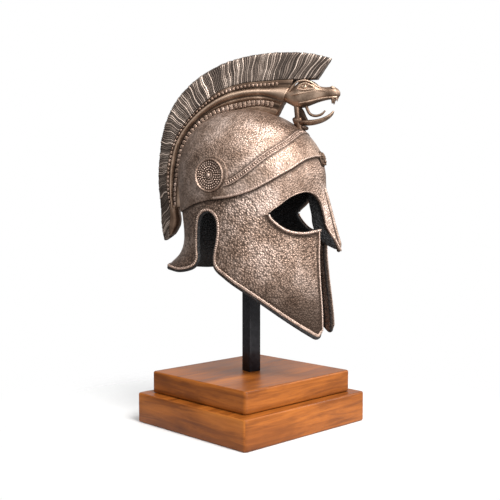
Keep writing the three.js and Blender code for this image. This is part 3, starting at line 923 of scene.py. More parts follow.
def black_metal():
    material, graph, shader = new_material("satin_black")
    coords = graph.coords("Object")
    speck = graph.noise(coords, 180, 3)
    graph.fill(shader, {
        "Base Color": graph.ramp(speck, [(0.3, (0.006, 0.006, 0.008)), (0.75, (0.018, 0.018, 0.022))]),
        "Roughness": graph.ramp(speck, [(0.3, 0.34), (0.7, 0.5)]),
        "Metallic": 0.0,
        "Normal": graph.bump(graph.noise(coords, 900, 2), 0.2, 0.0002),
        "Specular IOR Level": 0.3,
    })
    return material


def stained_wood():
    """Straight-grained stained hardwood under a satin varnish; the grain runs along U."""
    material, graph, shader = new_material("stained_wood")
    uv = graph.coords("UV")
    grain = graph.noise(graph.stretched(uv, (5.0, 70.0, 1.0)), 1.6, 8, 0.62, 0.8)
    pore = graph.noise(graph.stretched(uv, (26.0, 700.0, 1.0)), 1.5, 3, 0.5)
    cloud = graph.noise(graph.stretched(uv, (6.0, 22.0, 1.0)), 1.2, 4, 0.6, 0.5)
    tone = graph.ramp(graph.blend(grain, 0.55, cloud, 0.45), [
        (0.3, (0.09, 0.022, 0.003)), (0.45, (0.19, 0.052, 0.007)), (0.58, (0.33, 0.098, 0.014)),
        (0.74, (0.44, 0.15, 0.026)),
    ])
    flecks = graph.ramp(pore, [(0.28, 0.45), (0.42, 1.0)])
    color = graph.mix(0.5, tone, graph.mix(1.0, tone, flecks, "MULTIPLY"))
    # Painted shade along the foot of each tier.
    sunk = graph.times(graph.painted_shading(), 0.85, clamp=True)
    graph.fill(shader, {
        "Base Color": graph.mix(sunk, color, (0.05, 0.014, 0.004)),
        "Roughness": graph.ramp(grain, [(0.3, 0.36), (0.7, 0.48)]),
        "Coat Weight": 0.05,
        "Specular IOR Level": 0.2,
        "Coat Roughness": 0.22,
        "Normal": graph.bump(pore, 0.12, 0.0003),
    })
    return material


AGED = bronze("aged_bronze", (0.20, 0.125, 0.088), (0.37, 0.255, 0.195), (0.66, 0.50, 0.42), 0.85, 0.42, 2.7)
FINE = bronze(
    "fine_aged_bronze", (0.22, 0.14, 0.10), (0.42, 0.295, 0.23), (0.72, 0.56, 0.48), 0.55, 0.44, 2.6,
)
SMOOTH = bronze(
    "smooth_aged_bronze", (0.19, 0.12, 0.085), (0.36, 0.25, 0.19), (0.66, 0.50, 0.42), 0.45, 0.44, 2.8,
)
HAIR = bronze("hair_bronze", (0.16, 0.12, 0.10), (0.30, 0.23, 0.188), (0.72, 0.59, 0.50), 0.0, 0.40)
POLISHED = bronze("polished_bronze", (0.15, 0.09, 0.06), (0.27, 0.175, 0.12), (0.70, 0.51, 0.38), 0.0, 0.40)
BLACK = black_metal()
WOOD = stained_wood()


def finish_piece(obj, material, slot, *nodes):
    """Gives a piece its material, its body and the nodes that it stands for. The slot is not used."""
    obj.data.materials.clear()
    obj.data.materials.append(material)
    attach(obj, "root")
    if nodes:
        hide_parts(*nodes)


# Shell pieces

def build_trim(skin, name, fill):
    soup = Soup()
    fill(skin, soup)
    finish_piece(soup.build(name), SMOOTH, "aged_bronze")


def build_shell(skin):
    finish_piece(shell_body(skin, "cheeks_and_neck_guard"), AGED, "aged_bronze", "helmet_shell")
    # Painted shade on the bowl along the diadem's top edge and round the crest holder.
    bowl_shade = bell(skin.diadem_top, -1.4, 1.6, 1) + 0.4 * near_holder(skin)
    bowl = skin_patch(skin, "bowl", skin.ledge, 0.0, 1.3, 3.4, bowl_shade, crown=True)
    finish_piece(bowl, FINE, "aged_bronze")
    # Painted shade between the border's ribs and under the border.
    between = 0.8 * bell(skin.diadem_top, BORDER_MIDDLE, 1.5)
    below = bell(skin.diadem_top, BORDER_MIDDLE + 4.5, 1.3)
    band_shade = (between + below) * on_diadem(skin.place.reshape(-1, 3)).reshape(skin.x.shape)
    diadem = skin_patch(skin, "diadem", diadem_field(skin), DIADEM_INSET, 1.1, 5.0, band_shade)
    finish_piece(diadem, SMOOTH, "aged_bronze")
    build_trim(skin, "diadem_border", border_ribs)
    brow = np.minimum(skin.brow, 3 - skin.ledge)
    # Painted shade under the ledge and beside the nose guard's middle rib.
    beside_rib = bell(np.abs(skin.y), 4.0, 1.1) * (skin.x > 60) * smoothstep(334, 324, skin.z)
    brow_shade = np.clip(1.6 * np.exp(np.minimum(skin.ledge, 0) / 2.4) + beside_rib, 0, 1)
    brow_plate = skin_patch(skin, "brow_plate", brow, BROW_PLATE_INSET, 0.8, 2.0, brow_shade)
    finish_piece(brow_plate, FINE, "aged_bronze")
    build_trim(skin, "edge_rims", edge_ribs)
    build_trim(skin, "eye_lids", eye_lids)
    build_nose_back()


def build_nose_back():
    """The back of the nose guard, thick from front to back and painted black like the inside."""
    soup = Soup()
    heights = np.linspace(NOSE_BACK_BOTTOM, NOSE_BACK_TOP, 34)
    back = through([(z, x) for x, z in reversed(NOSE_BACK)], heights)
    edge = through([(z, y) for y, z in reversed(NOSE_EDGE)], heights)
    front = section(heights, PLATE_INSET)[0] + nose_out(0.0, heights) - 4.5
    boxy = [signed_power(part, 0.3) for part in circle(28)]
    rings = []
    for z, x, face, wide in zip(heights, back, front, edge):
        reach = max(0.5 * (face - x), 0.6)
        half = min(NOSE_BACK_HALF, wide) - 0.2
        rings.append(np.column_stack([0.5 * (face + x) + reach * boxy[0], half * boxy[1], np.full(28, z)]))
    soup.loft(rings, FULL_BLACK)
    finish_piece(soup.build("nose_guard_back"), AGED, "aged_bronze")


def near_holder(skin):
    """Painted shade where the bowl meets the crest holder."""
    behind = (skin.x < 48) & (skin.z > 296)
    return np.where(behind, np.exp(-np.maximum(np.abs(skin.y) - 11, 0) / 2.5), 0)


def diadem_field(skin):
    """Above zero on the diadem, which ends in a round lobe under the rosette."""
    flat = np.hypot(skin.x - ROSETTE[0], skin.z - ROSETTE[2])
    lobe = np.where(np.abs(skin.y) > 40, ROSETTE_RADIUS + 3.2 - flat, -50)
    band = np.minimum(skin.diadem_top, skin.ledge)
    band = np.where(skin.x > ROSETTE[0], band, -np.abs(skin.x - ROSETTE[0]))
    return -soft_min(-band, -lobe, 3)


def on_diadem(points):
    flat = np.hypot(points[:, 0] - ROSETTE[0], points[:, 2] - ROSETTE[2])
    return (points[:, 0] > -20) & ((flat > ROSETTE_RADIUS + 1) | (np.abs(points[:, 1]) < 40))


def border_ribs(skin, soup):
    """Two thin ribs along the diadem's upper edge with a row of small beads between, and its lower edge."""
    for level in (BORDER_MIDDLE - BORDER_HALF, BORDER_MIDDLE + BORDER_HALF):
        skin_rib(skin, soup, skin.diadem_top, level, DIADEM_INSET, 0.95, 1.5, on_diadem)
    row = skin_row(skin, skin.diadem_top, BORDER_MIDDLE, BORDER_STEP, on_diadem, DIADEM_INSET + 0.1)
    add_beads(soup, row, (1.2, 1.9, 1.1), -0.5, 8, 5)

    def ahead(p):
        return p[:, 0] > -24

    skin_rib(skin, soup, skin.ledge, 1.9, DIADEM_INSET, 1.5, 1.5, ahead, painted_shading=-0.6)
    lip = smooth_path(APEX_LIP, 4)
    add_tube(soup, lip, np.interp(lip[:, 1], *np.transpose(APEX_LIP_RADIUS)), 0.6, 12)


def edge_ribs(skin, soup):
    """A flat raised rim along the free edges, ticked like rope round the ear slots and the neck guard."""
    rim = skin.side - LOW_EDGE_WIDER * smoothstep(LOW_EDGE_TOP, LOW_EDGE_FULL, skin.z)
    skin_rib(
        skin, soup, rim, RIM_MIDDLE, PLATE_INSET, 2.0, 1.3, shape=3.0, painted_shading=-0.35, within=skin.slit - 2.5,
    )
    front = np.minimum(skin.side - 4.5, skin.eye)
    skin_rib(skin, soup, skin.slit, 1.5, PLATE_INSET, 1.2, 1.6, painted_shading=-0.7, within=front)

    def ticked(p):
        return (p[:, 0] < -4) & (p[:, 2] > 205) & (np.abs(p[:, 1]) > 2)

    add_beads(
        soup, skin_row(skin, rim, RIM_MIDDLE, TICK_STEP, ticked, PLATE_INSET - 0.8), (0.95, 1.9, 1.0),
        -0.6, 8, 5,
    )

    def ahead(p):
        return (p[:, 0] > 60) & (p[:, 2] > 245) & (p[:, 2] < 334)

    def rise(p):
        return smoothstep(246, 254, p[:, 2]) * smoothstep(332, 325, p[:, 2])

    skin_rib(skin, soup, skin.y, 0.0, BROW_PLATE_INSET, 2.6, 2.8, ahead, rise, painted_shading=0.15, steps=8)


def lower_lid(points):
    across = eye_view(points[:, 0], points[:, 1])[0]
    return (across < 70) & (points[:, 2] < 295)


def eye_lids(skin, soup):
    """A thick lip under each eye and a thin one over it."""
    # The lips are painted lighter, the lower one most: painted highlight.
    skin_rib(
        skin, soup, skin.eye, 1.2, PLATE_INSET, 1.9, 3.0, lower_lid, painted_shading=-0.8, steps=10, within=skin.slit,
    )

    def upper(p):
        return ~lower_lid(p)

    skin_rib(skin, soup, skin.eye, 1.1, BROW_PLATE_INSET, 0.9, 0.9, upper, painted_shading=-0.4, within=skin.slit - 1)


# Crest

def crest_place(angle, radius, y):
    a = np.radians(angle)
    x = CREST_X + radius * np.cos(a)
    z = CREST_Z + radius * np.sin(a)
    return np.stack(np.broadcast_arrays(x, y, z), -1)


def strand_profile(count, low, high):
    """Rounded strands of uneven width side by side: height from 0 to 1 by place."""
    widths = rng.uniform(low, high, count)
    edges = np.concatenate([[0], np.cumsum(widths)])
    tall = rng.uniform(0.55, 1.0, count)

    def height(s):
        k = np.clip(np.searchsorted(edges, s, "right") - 1, 0, count - 1)
        t = np.clip((s - edges[k]) / widths[k], 0, 1)
        return tall[k] * np.sqrt(np.maximum(1 - (2 * t - 1) ** 2, 0))

    return height


def build_hair():
    """The hair: hundreds of narrow strands on one backing, leaning back towards the tail."""
    strands = strand_profile(*STRANDS)
    locks = strand_profile(*LOCKS)
    up = np.concatenate([[0], np.linspace(0.03, 0.93, 15), [0.97, 0.99, 1.0]])
    angles = np.linspace(CREST_FRONT + 0.2, CREST_END - 0.2, HAIR_COLUMNS)
    base = through(HAIR_BASE, angles) + GAP
    edge = through(HAIR_EDGE, angles) - 0.4
    mean = 0.5 * (base + edge)
    run = np.concatenate([[0], np.cumsum(np.diff(np.radians(angles)) * mean[1:])])
    lean = 9 * smoothstep(105, 200, angles) - 2.5 * smoothstep(80, 55, angles)
    rings = []
    shades = []
    for side, offset, heights in ((-1, 0, up), (1, 60, up[::-1])):
        for f in heights:
            sweep = run - lean * f + 0.6 * np.sin(run / 17 + 3 * f + side) + 0.8 * np.sin(run / 7 + 8 * f)
            place = np.clip(sweep + offset, 0, None)
            strand = strands(place)
            lock = locks(place)
            half = HAIR_BASE_HALF + (HAIR_EDGE_HALF - HAIR_BASE_HALF) * f
            full = half - 0.3 - 1.7 * (1 - strand) - 0.9 * (1 - lock) - 0.8 * (1 - f) ** 4
            bend = max(1 - max((f - 0.86) / 0.14, 0) ** 2.2, 0) ** 0.5
            radius = base + (edge - base) * f - (1.2 * (1 - strand) + 0.8 * (1 - lock)) * (f > 0.9)
            rings.append(crest_place(angles, radius, side * full * (0.3 + 0.7 * bend)))
            # Painted shade in the gaps between strands and painted highlight on their tops.
            shades.append(1.6 * (1 - strand) + 0.15 * (1 - lock) - 1.5 * smoothstep(0.76, 0.95, strand))
    soup = Soup()
    soup.loft(np.stack(rings, 1), np.stack(shades, 1).ravel())
    finish_piece(soup.build("crest_hair"), HAIR, "dark_bronze", "crest_plume")


def crest_ring(angle, radius, half, dark):
    """A closed section of the crest from its right half, with its shading."""
    right = crest_place(angle, radius, -half)
    left = crest_place(angle, radius[::-1], half[::-1])
    return np.concatenate([right, left]), np.concatenate([dark, dark[::-1]])


def holder_lines(angle):
    """Radii of the holder's parts at one angle, from the hair down to the skirt on the bowl."""
    egg = through(EGG_ROW, angle)
    tube = through(TUBE_ROW, angle)
    top = through(HAIR_BASE, angle)
    low = tube - egg
    high = top - tube
    flare = smoothstep(78, 62, angle)
    rear = smoothstep(98, 126, angle)
    return {
        "top": top,
        "beads": tube + (0.6 + 0.12 * flare) * high,
        "rail_top": tube + (0.25 + 0.2 * flare) * high,
        "rail_low": tube - (0.43 + 0.2 * flare) * low,
        "fillet": tube - (0.76 - 0.1 * rear) * low,
        "eggs": egg - 0.3 * low * (1 - rear),
        "egg_tall": EGG_TALL * low,
    }


def holder_ring(angle):
    """Section of the holder: bead row, groove, round rail, fillet, egg row and skirt."""
    top, beads, rail_top, rail_low, fillet, eggs, tall = (float(v) for v in holder_lines(angle).values())
    rail = 0.5 * (rail_top + rail_low)
    grow = 0.5 * (rail_top - rail_low)
    # Radius, half width
    places = [
        (eggs - 13, 8.4), (eggs - tall - 1.4, 9.0), (eggs - tall - 0.4, 8.2), (eggs - 0.6 * tall, 8.4),
        (eggs, 8.6), (eggs + 0.6 * tall, 8.4), (eggs + tall + 0.2, 8.0), (fillet - 1.0, 9.6),
        (fillet + 0.7, 9.9), (rail_low - 1.2, 8.6), (rail - 0.62 * grow, 10.9), (rail, 11.9),
        (rail + 0.62 * grow, 11.0), (rail_top + 0.8, 8.6), (beads - 1.6, 8.8), (beads + 1.2, 9.0), (top, 9.4),
    ]
    radius, half = np.transpose(places)
    radius, half = smooth_path(np.column_stack([np.maximum.accumulate(radius), half]), 3).T
    # Painted shade in the grooves, and painted highlight along the rail's crest.
    grooves = ((rail_top + 1.0, 1.0), (rail_low - 1.3, 1.3), (eggs, tall + 0.5), (top, 0.8), (beads, 1.6))
    dark = np.clip(sum(bell(radius, groove, wide) for groove, wide in grooves), 0, 1)
    return crest_ring(angle, radius, half, dark - 0.8 * bell(radius, rail + 0.2 * grow, 0.5 * grow))


def tail_ring(angle):
    """Section of the holder's free tail, which draws in to its tip."""
    start = float(through(TAIL_INSIDE, angle))
    deep = float(through(HAIR_BASE, angle)) - start
    close = float(np.sqrt(np.clip((CREST_END - angle) / 3.0, 0.02, 1)))
    share, half = smooth_path([(0, 0), (0.04, 5), (0.2, 8.6), (0.5, 10.2), (0.85, 9.6), (1, 9.2)], 3).T
    radius = start + deep * (1 - close) * 0.6 + share * deep * (1 - 0.6 * (1 - close))
    # Painted shade where the tail meets the hair.
    return crest_ring(angle, radius, half * (0.55 + 0.45 * close), 0.7 * bell(share, 1, 0.08))


def both_sides(radius, angles, y):
    """A row of places on the holder's right and left, as centres, normals and directions."""
    row = []
    for side in (-1, 1):
        points = crest_place(angles, radius, side * y)
        row.append((points, np.tile((0.0, side, 0.0), (len(points), 1)), unit(np.gradient(points, axis=0))))
    return [np.concatenate(part) for part in zip(*row)]


def even_angles(rows, start, end, step):
    """Angles whose places on a row lie one step apart."""
    fine = np.linspace(start, end, 600)
    points = crest_place(fine, through(rows, fine), 0.0)
    reach = reach_along(points)
    count = int(reach[-1] // step)
    return np.interp((np.arange(count) + 0.5) * step, reach, fine)


def build_holder():
    soup = Soup()
    for section_at, start, end, count in (
        (holder_ring, HOLDER_FRONT, HOLDER_END, 170), (tail_ring, TAIL_START, CREST_END - 0.1, 44),
    ):
        rings, shades = zip(*[section_at(angle) for angle in np.linspace(start, end, count)])
        soup.loft(rings, np.concatenate(shades))
    finish_piece(soup.build("crest_rail"), POLISHED, "polished_bronze", "crest_holder")
    rows = Soup()
    eggs = even_angles(EGG_ROW, HOLDER_FRONT + 4.4, HOLDER_END - 0.5, EGG_STEP)
    at = holder_lines(eggs)
    tall = np.tile(at["egg_tall"], 2)
    row = both_sides(at["eggs"], eggs, 8.5)
    add_beads(rows, row, (3.15, tall, 2.0), 0.0, 14, 8, 0.5)
    add_beads(rows, row, (1.3, 0.55 * tall, 2.5), 0.25, 10, 6)
    beads = even_angles(HAIR_BASE, BEADS_FRONT, HOLDER_END, BEAD_STEP)
    at = holder_lines(beads)
    tall = np.clip(0.34 * (at["top"] - at["rail_top"]), 1.1, 2.5)
    add_beads(rows, both_sides(at["beads"], beads, 8.6), (2.4, np.tile(tall, 2), 2.2), 0.0, 10, 6, 0.6)
    finish_piece(rows.build("crest_bead_rows"), SMOOTH, "aged_bronze")


# Serpent

HEAD_ROWS = [
    # x, middle height, half height, half width, lean
    (50.2, 457.2, 9.0, 11.3, -27),
    (53.5, 456, 9.5, 11.6, -28),
    (59, 455, 11.6, 11.4, -12),
    (65.5, 454.5, 15.2, 12.4, 0),
    (74, 457, 18.5, 15, 0),
    (82.5, 458.5, 17.6, 15.3, 0),
    (91, 458.5, 15, 13.8, 0),
    (98.5, 456.6, 10.4, 11, 0),
    (107, 456.6, 8.4, 9.2, 0),
    (117, 456.9, 8, 9, 0),
    (123.5, 456, 6.2, 7, 0),
    (126.5, 455.3, 3, 3.5, 0),
]
THROAT_ROWS = [
    (66.5, 449, 4.8, 6, 90), (67, 436, 4.4, 5.3, 88), (67.6, 428, 4.2, 5.0, 85), (68.6, 421, 4.8, 5.6, 82),
    (71, 414, 5.8, 6.5, 78), (73, 408, 6.3, 7, 78),
]
# The web between the throat and the jaws, painted dark as shade under the head, in side view, (x, z)
THROAT_WEB = [(69, 441), (75.1, 436.2), (79.6, 426.5), (82.2, 420.4), (75.1, 418.4), (68.5, 422)]
THROAT_WEB_HALF = 2.8
JAW_ROWS = [
    (72.5, 418.4, 4.3, 7.5, -4), (80, 418.3, 4.4, 9, 0), (90, 418.6, 4, 9, 6), (100, 420.4, 3.4, 8, 16),
    (109, 424, 2.8, 6, 30), (115, 428.4, 2.2, 4, 45), (118, 432.4, 1.2, 2, 58),
]
TONGUE_ROWS = [
    (79, 441.5, 2.4, 3.4, -85), (80.5, 438, 2.2, 3.2, -70), (83.5, 431.5, 2, 3.2, -50),
    (88.5, 427.8, 1.9, 3.2, -18), (95, 427, 1.8, 3, 8), (101.5, 429, 1.6, 2.4, 32),
    (106.5, 433.6, 1, 1.4, 52),
]
# Most tubes are painted lighter: rubbed metal and painted highlight; the fang is darker: painted shade under
# the snout.
# Tubes on the right of the head: shading, sides, points per span, radii by point, places
HEAD_TUBES = [
    (-0.7, 10, 6, [(0, 0.5), (8, 1.0), (30, 1.3), (48, 0.8)], [
        (55, -10.6, 454.5), (59.5, -11.2, 461.5), (64, -11.6, 467), (70, -12.2, 471.8), (77, -12.4, 473.6),
        (84, -12, 473), (90, -10.8, 470.4), (96, -8.8, 466.4), (101.5, -7.6, 463.4),
    ]),
    (-0.3, 10, 6, [(0, 1.0)], [
        (71, -14.6, 462.5), (76, -15.2, 468), (83, -15.2, 469.4), (90, -13.6, 466.4), (95, -11.8, 463),
    ]),
    (-0.5, 10, 6, [(0, 1.0)], [
        (71, -14.6, 462.5), (77, -15.6, 461.2), (84, -15.2, 460.9), (91, -13.2, 461.8), (95, -11.8, 463),
    ]),
    (-0.3, 10, 6, [(0, 0.6), (12, 1.5), (30, 0.5)], [
        (56, -8.5, 452), (63, -11.5, 454.6), (72, -14.4, 456), (84, -14, 457.6), (97, -10.8, 459.6),
        (108, -9, 459.5),
    ]),
    (-0.2, 10, 6, [(0, 1.1)], [
        (72, -12.5, 443.6), (84, -12.4, 444.8), (96, -9.5, 447.6), (108, -8.2, 449.8), (118, -7.6, 450.2),
        (123.6, -4.6, 450.6),
    ]),
    (0.3, 12, 6, [(0, 3.0), (12, 0.8)], [(117.0, -4.6, 451), (117.6, -4.8, 446.8), (117.2, -4.7, 442)]),
    (-0.1, 10, 4, [(0, 1.5), (8, 0.3)], [(122.0, -3.4, 451), (122.4, -3.4, 448), (122.0, -3.3, 445.4)]),
]
# The eye is painted lighter, painted highlight, and the nostril's hole darker, painted shade.
# Eye and pupil, nostril and its hole: place, outward direction, how far out, size, shading, sides, levels
EYE_OUT = (0.25, -0.9, 0.25)
NOSTRIL_OUT = (0.3, -0.5, 0.8)
HEAD_BEADS = [
    ((80.6, -13.1, 465.2), EYE_OUT, 0, (4.3, 3.5, 3.3), -0.5, 16, 10),
    ((80.6, -13.1, 465.2), EYE_OUT, 2.80415, (1.5, 1.5, 1.0), 0.9, 10, 6),
    ((117.8, -5.4, 463), NOSTRIL_OUT, 0, (3.4, 2.6, 2.2), -0.4, 14, 8),
    ((117.8, -5.4, 463), NOSTRIL_OUT, 1.7, (1.1, 0.9, 0.8), 1.0, 10, 6),
]
# The collar round the throat, as places and radii
COLLAR = [(62.4, 0, 419.5), (63.4, 0, 419.9), (73.8, 0, 420.8), (74.6, 0, 420.9)]
COLLAR_RADII = [5.4, 6.4, 6.4, 5.6]


def oval_loft(rows, around, per_span, shape=None):
    """Rings of a rounded body through given stations, with an optional change of form."""
    c, s = circle(around)
    rings = []
    for x, z, high, wide, lean in smooth_path(rows, per_span):
        up, side = high * c, wide * s
        if shape is not None:
            up, side = shape(x, high, wide, c, s)
        a = math.radians(lean)
        rings.append(np.stack([x - up * math.sin(a), side, z + up * math.cos(a)], -1))
    return np.array(rings)


def head_form(x, high, wide, c, s):
    """Flat-topped skull with brow crests over sunken eyes, hollow cheeks, and a blunt snout."""
    boxy = 1 - 0.3 * bell(x, 80, 15)
    side = wide * signed_power(s, boxy)
    trough = bell(side, 0, 5.5) * (c > 0)
    up = high * signed_power(c, boxy) - 2.2 * bell(x, 79, 13) * trough
    socket = bell(x, 82, 8.5, 4) * bell(c, 0.42, 0.26)
    cheek = bell(x, 92, 13) * bell(c, -0.3, 0.3)
    nose = bell(x, 106, 6) * bell(c, 0.1, 0.5)
    return up, side * (1 - 0.2 * socket - 0.1 * cheek - 0.1 * nose)


def jaw_form(x, high, wide, c, s):
    """A trough along the top of the jaw between its two gum ridges."""
    trough = bell(wide * s, 0, max(wide * 0.45, 0.1)) * (c > 0)
    return high * c - 0.45 * high * trough, wide * s


def build_serpent():
    head = Soup()
    rings = oval_loft(HEAD_ROWS, 48, 6, head_form)
    x, z = rings[:, :, 0], rings[:, :, 2]
    # Painted shade under the head and under the brow crests; the whole head is darker, and the cheek lighter
    # again.
    under = np.clip((z.mean(1)[:, None] - z - 3) / 6, 0, 1) * smoothstep(70, 80, x)
    lid_shadow = bell(x, 82, 11, 4) * bell(z, 470, 2.2)
    on_cheek = smoothstep(455, 448, z) * smoothstep(116, 106, x)
    head.loft(rings, (0.8 * under + 0.8 * lid_shadow + 0.4 - 0.6 * on_cheek).ravel())
    head.loft(oval_loft(THROAT_ROWS, 24, 5), 0.15)
    web = smooth_path(THROAT_WEB, 4, closed=True)
    middle = web.mean(0)
    slices = []
    for share, grow in ((-1, 0.9), (-0.6, 1), (0.6, 1), (1, 0.9)):
        x, z = (middle + (web - middle) * grow).T
        slices.append(np.column_stack([x, np.full(len(web), share * THROAT_WEB_HALF), z]))
    head.loft(slices, 0.95)
    add_tube(head, COLLAR, COLLAR_RADII, 0.0, 20)
    for flip in (np.array([1, 1, 1]), np.array([1, -1, 1])):
        for painted_shading, around, per_span, radii, places in HEAD_TUBES:
            path = smooth_path(places, per_span)
            add_tube(head, path * flip, np.interp(np.arange(len(path)), *np.transpose(radii)), painted_shading, around)
        for place, out, reach, size, painted_shading, around, levels in HEAD_BEADS:
            out = unit(np.array([out]) * flip)
            centre = np.array([place]) * flip + out * reach
            add_beads(head, (centre, out, [(1.0, 0, 0)]), size, painted_shading, around, levels)
    finish_piece(head.build("serpent_upper_head"), POLISHED, "polished_bronze", "serpent_head")
    jaw = Soup()
    jaw.loft(oval_loft(JAW_ROWS, 28, 6, jaw_form), 0.1)
    finish_piece(jaw.build("serpent_lower_jaw"), POLISHED, "polished_bronze", "serpent_jaw")
    tongue = Soup()
    tongue.loft(oval_loft(TONGUE_ROWS, 18, 6), -0.15)
    finish_piece(tongue.build("serpent_tongue_curl"), POLISHED, "polished_bronze", "serpent_tongue")


# Rosettes and boss

# Height of the rosette by its own radius
ROSETTE_FACE = [
    (0, 5.2), (1.8, 4.6), (2.8, 2.6), (3.4, 1.8), (10, 1.7), (18.6, 1.5), (19.6, 1.9), (20.7, 3.6),
    (21.7, 3.7), (22.7, 2.4), (23.4, 1.4), (24, 0.2),
]
# Rings of beads on it: radius, bead size
ROSETTE_BEADS = [(4.4, 1.0), (7.7, 1.15), (11.0, 1.25), (14.3, 1.3), (17.6, 1.25)]


def rosette_frame(side):
    """Centre, outward direction and the two directions across the rosette on one side."""
    a = math.radians(ROSETTE_TURN)
    flip = np.array([1, -side, 1])
    normal = np.array([-math.sin(a), -math.cos(a), 0.0])
    across = np.array([math.cos(a), -math.sin(a), 0.0])
    return np.array(ROSETTE) * flip, normal * flip, across * flip, np.array([0.0, 0.0, 1.0])


def build_rosette(side, name, node):
    centre, normal, across, up = rosette_frame(side)
    around = 72
    radii = np.concatenate([np.linspace(0.01, 23.4, 48), [23.8, 24.0, 24.0]])
    heights = np.concatenate([through(ROSETTE_FACE, radii[:49]), [-1.5, -7.0]])
    c, s = (part[None, :, None] for part in circle(around))
    rings = centre + radii[:, None, None] * (c * across + s * up) + heights[:, None, None] * normal
    # Painted shade in the field between the bead rings and past the outer ring, painted highlight on the
    # middle bead.
    shade = np.where((radii > 2.8) & (radii < 19.8), 0.85, 0.0) - 0.1 * bell(radii, 21.2, 1.2)
    shade = shade - 1.0 * (radii < 2.2) + 0.8 * (radii > 22.6)
    soup = Soup()
    soup.loft(rings, np.repeat(shade, around), flip=side < 0)
    for radius, size in ROSETTE_BEADS:
        count = int(2 * np.pi * radius / (2.5 * size))
        c, s = (part[:, None] for part in circle(count))
        height = float(through(ROSETTE_FACE, radius)) - 0.15
        points = centre + radius * (c * across + s * up) + height * normal
        row = (points, np.tile(normal, (count, 1)), c * up - s * across)
        add_beads(soup, row, (size, size * 1.05, size), -0.6, 8, 5)
    finish_piece(soup.build(name), SMOOTH, "aged_bronze", node)


BOSS = (101.4, 0, 368.0)
BOSS_LEAN = -14


def build_boss():
    """A little palmette: petals fanned over an oval cushion."""
    soup = Soup()
    centre = np.array(BOSS)
    lean = math.radians(BOSS_LEAN)
    out = np.array([math.cos(lean), 0, -math.sin(lean)])
    up = np.array([math.sin(lean), 0, math.cos(lean)])
    side = np.array([0.0, 1.0, 0.0])

    def bead(place, along, *form):
        add_beads(soup, ([place], [out], [along]), *form)

    bead(centre, up, (11.4, 8.6, 4.4), 0.7, 28, 16)
    for k in range(-3, 4):
        turn = math.radians(26 * k)
        ray = math.cos(turn) * up + math.sin(turn) * side
        bead(centre + out * 3.6 + ray * (4.6 if k else 5.6) - up * 1.2, ray, (4.4, 1.35, 1.8), 0.5, 12, 7)
    bead(centre + out * 4.4 - up * 4.4, up, (2.4, 2.4, 1.9), 0.3, 14, 8)
    turns = np.linspace(-0.5, 3.6, 14)[:, None]
    for s in (-1, 1):
        curl = centre + out * 3.2 - up * (7 + 1.5 * np.sin(turns)) + side * s * (3.4 + 2.4 * np.cos(turns))
        add_tube(soup, curl, 0.8, 0.1, 8)
    finish_piece(soup.build("forehead_palmette"), POLISHED, "polished_bronze", "forehead_boss")


# Stand

def rounded_rectangle(along, across, radius, steps):
    """Places round a rectangle with round corners, each with its outward direction."""
    around = []
    for cx, cy, start in ((1, -1, -90), (1, 1, 0), (-1, 1, 90), (-1, -1, 180)):
        for k in range(steps + 1):
            a = math.radians(start + 90 * k / steps)
            c, s = math.cos(a), math.sin(a)
            x = cx * (along / 2 - radius) + radius * c
            y = cy * (across / 2 - radius) + radius * s
            around.append((x, y, c, s))
    return np.array(around)


def grain_place(p, normal):
    """Where a place of a face lies in the wood's picture plane, with each face in a part of its own."""
    axis = int(np.argmax(np.abs(normal)))
    if axis == 0:
        return p[1] + 500, p[2] + 40 + 90 * np.sign(normal[0])
    if axis == 1:
        return p[0] + 900, p[2] + 300 + 90 * np.sign(normal[1])
    return p[1] + 1500, p[0] + 700


def tier_block(name, along, across, bottom, top, edge, node):
    """A wooden block with rounded edges; U runs with the grain on each face, in metres."""
    around = rounded_rectangle(along, across, edge + TIER_CORNER, 6)
    turns = [0.5 * math.pi * k / 5 for k in range(6)]
    levels = [(edge * (1 - math.sin(a)), bottom + edge * (1 - math.cos(a))) for a in turns]
    levels += [(0, bottom + edge + f * (top - bottom - 2 * edge)) for f in (0.25, 0.5, 0.75)]
    levels += [(edge * (1 - math.cos(a)), top - edge * (1 - math.sin(a))) for a in turns]
    columns = len(around)
    rings = []
    for pull, z in levels:
        rings.append(np.column_stack([around[:, :2] - pull * around[:, 2:], np.full(columns, z)]))
    points = np.concatenate(rings)
    faces = grid_faces(len(rings), columns)
    faces.append(tuple(range(columns))[::-1])
    faces.append(tuple(len(points) - columns + k for k in range(columns)))
    uvs = []
    for face in faces:
        corner = points[list(face)]
        normal = np.cross(corner[1] - corner[0], corner[2] - corner[1])
        uvs += [grain_place(p, normal) for p in corner]
    # Painted shade along the foot of the block.
    shade = 0.5 * np.exp(-(points[:, 2] - bottom) / 2.0)
    obj = make_mesh(name, turned(points, PLINTH_TURN), faces, shade, np.array(uvs) * MM)
    for flat in (len(faces) - 1, len(faces) - 2):
        obj.data.polygons[flat].use_smooth = False
    finish_piece(obj, WOOD, "stained_wood", node)


def build_post():
    """The square post with eased corners, and its round head under the crown."""
    soup = Soup()
    corner = rounded_rectangle(POST_SIDE, POST_SIDE, POST_CORNER, 5)[:, :2]
    heights = np.linspace(LOWER_HIGH + UPPER_HIGH + GAP, POST_HEAD[0][1] + 1, 12)
    rings = [np.column_stack([corner, np.full(len(corner), z)]) for z in heights]
    soup.loft([turned(ring, POST_TURN) for ring in rings])
    c, s = circle(48)
    soup.loft([np.column_stack([radius * c, radius * s, np.full(48, z)]) for radius, z in POST_HEAD])
    finish_piece(soup.build("post_bar"), BLACK, "black_metal", "post")


# Setting

SOFT_SIDE = (0.60, -0.30, 0.74)


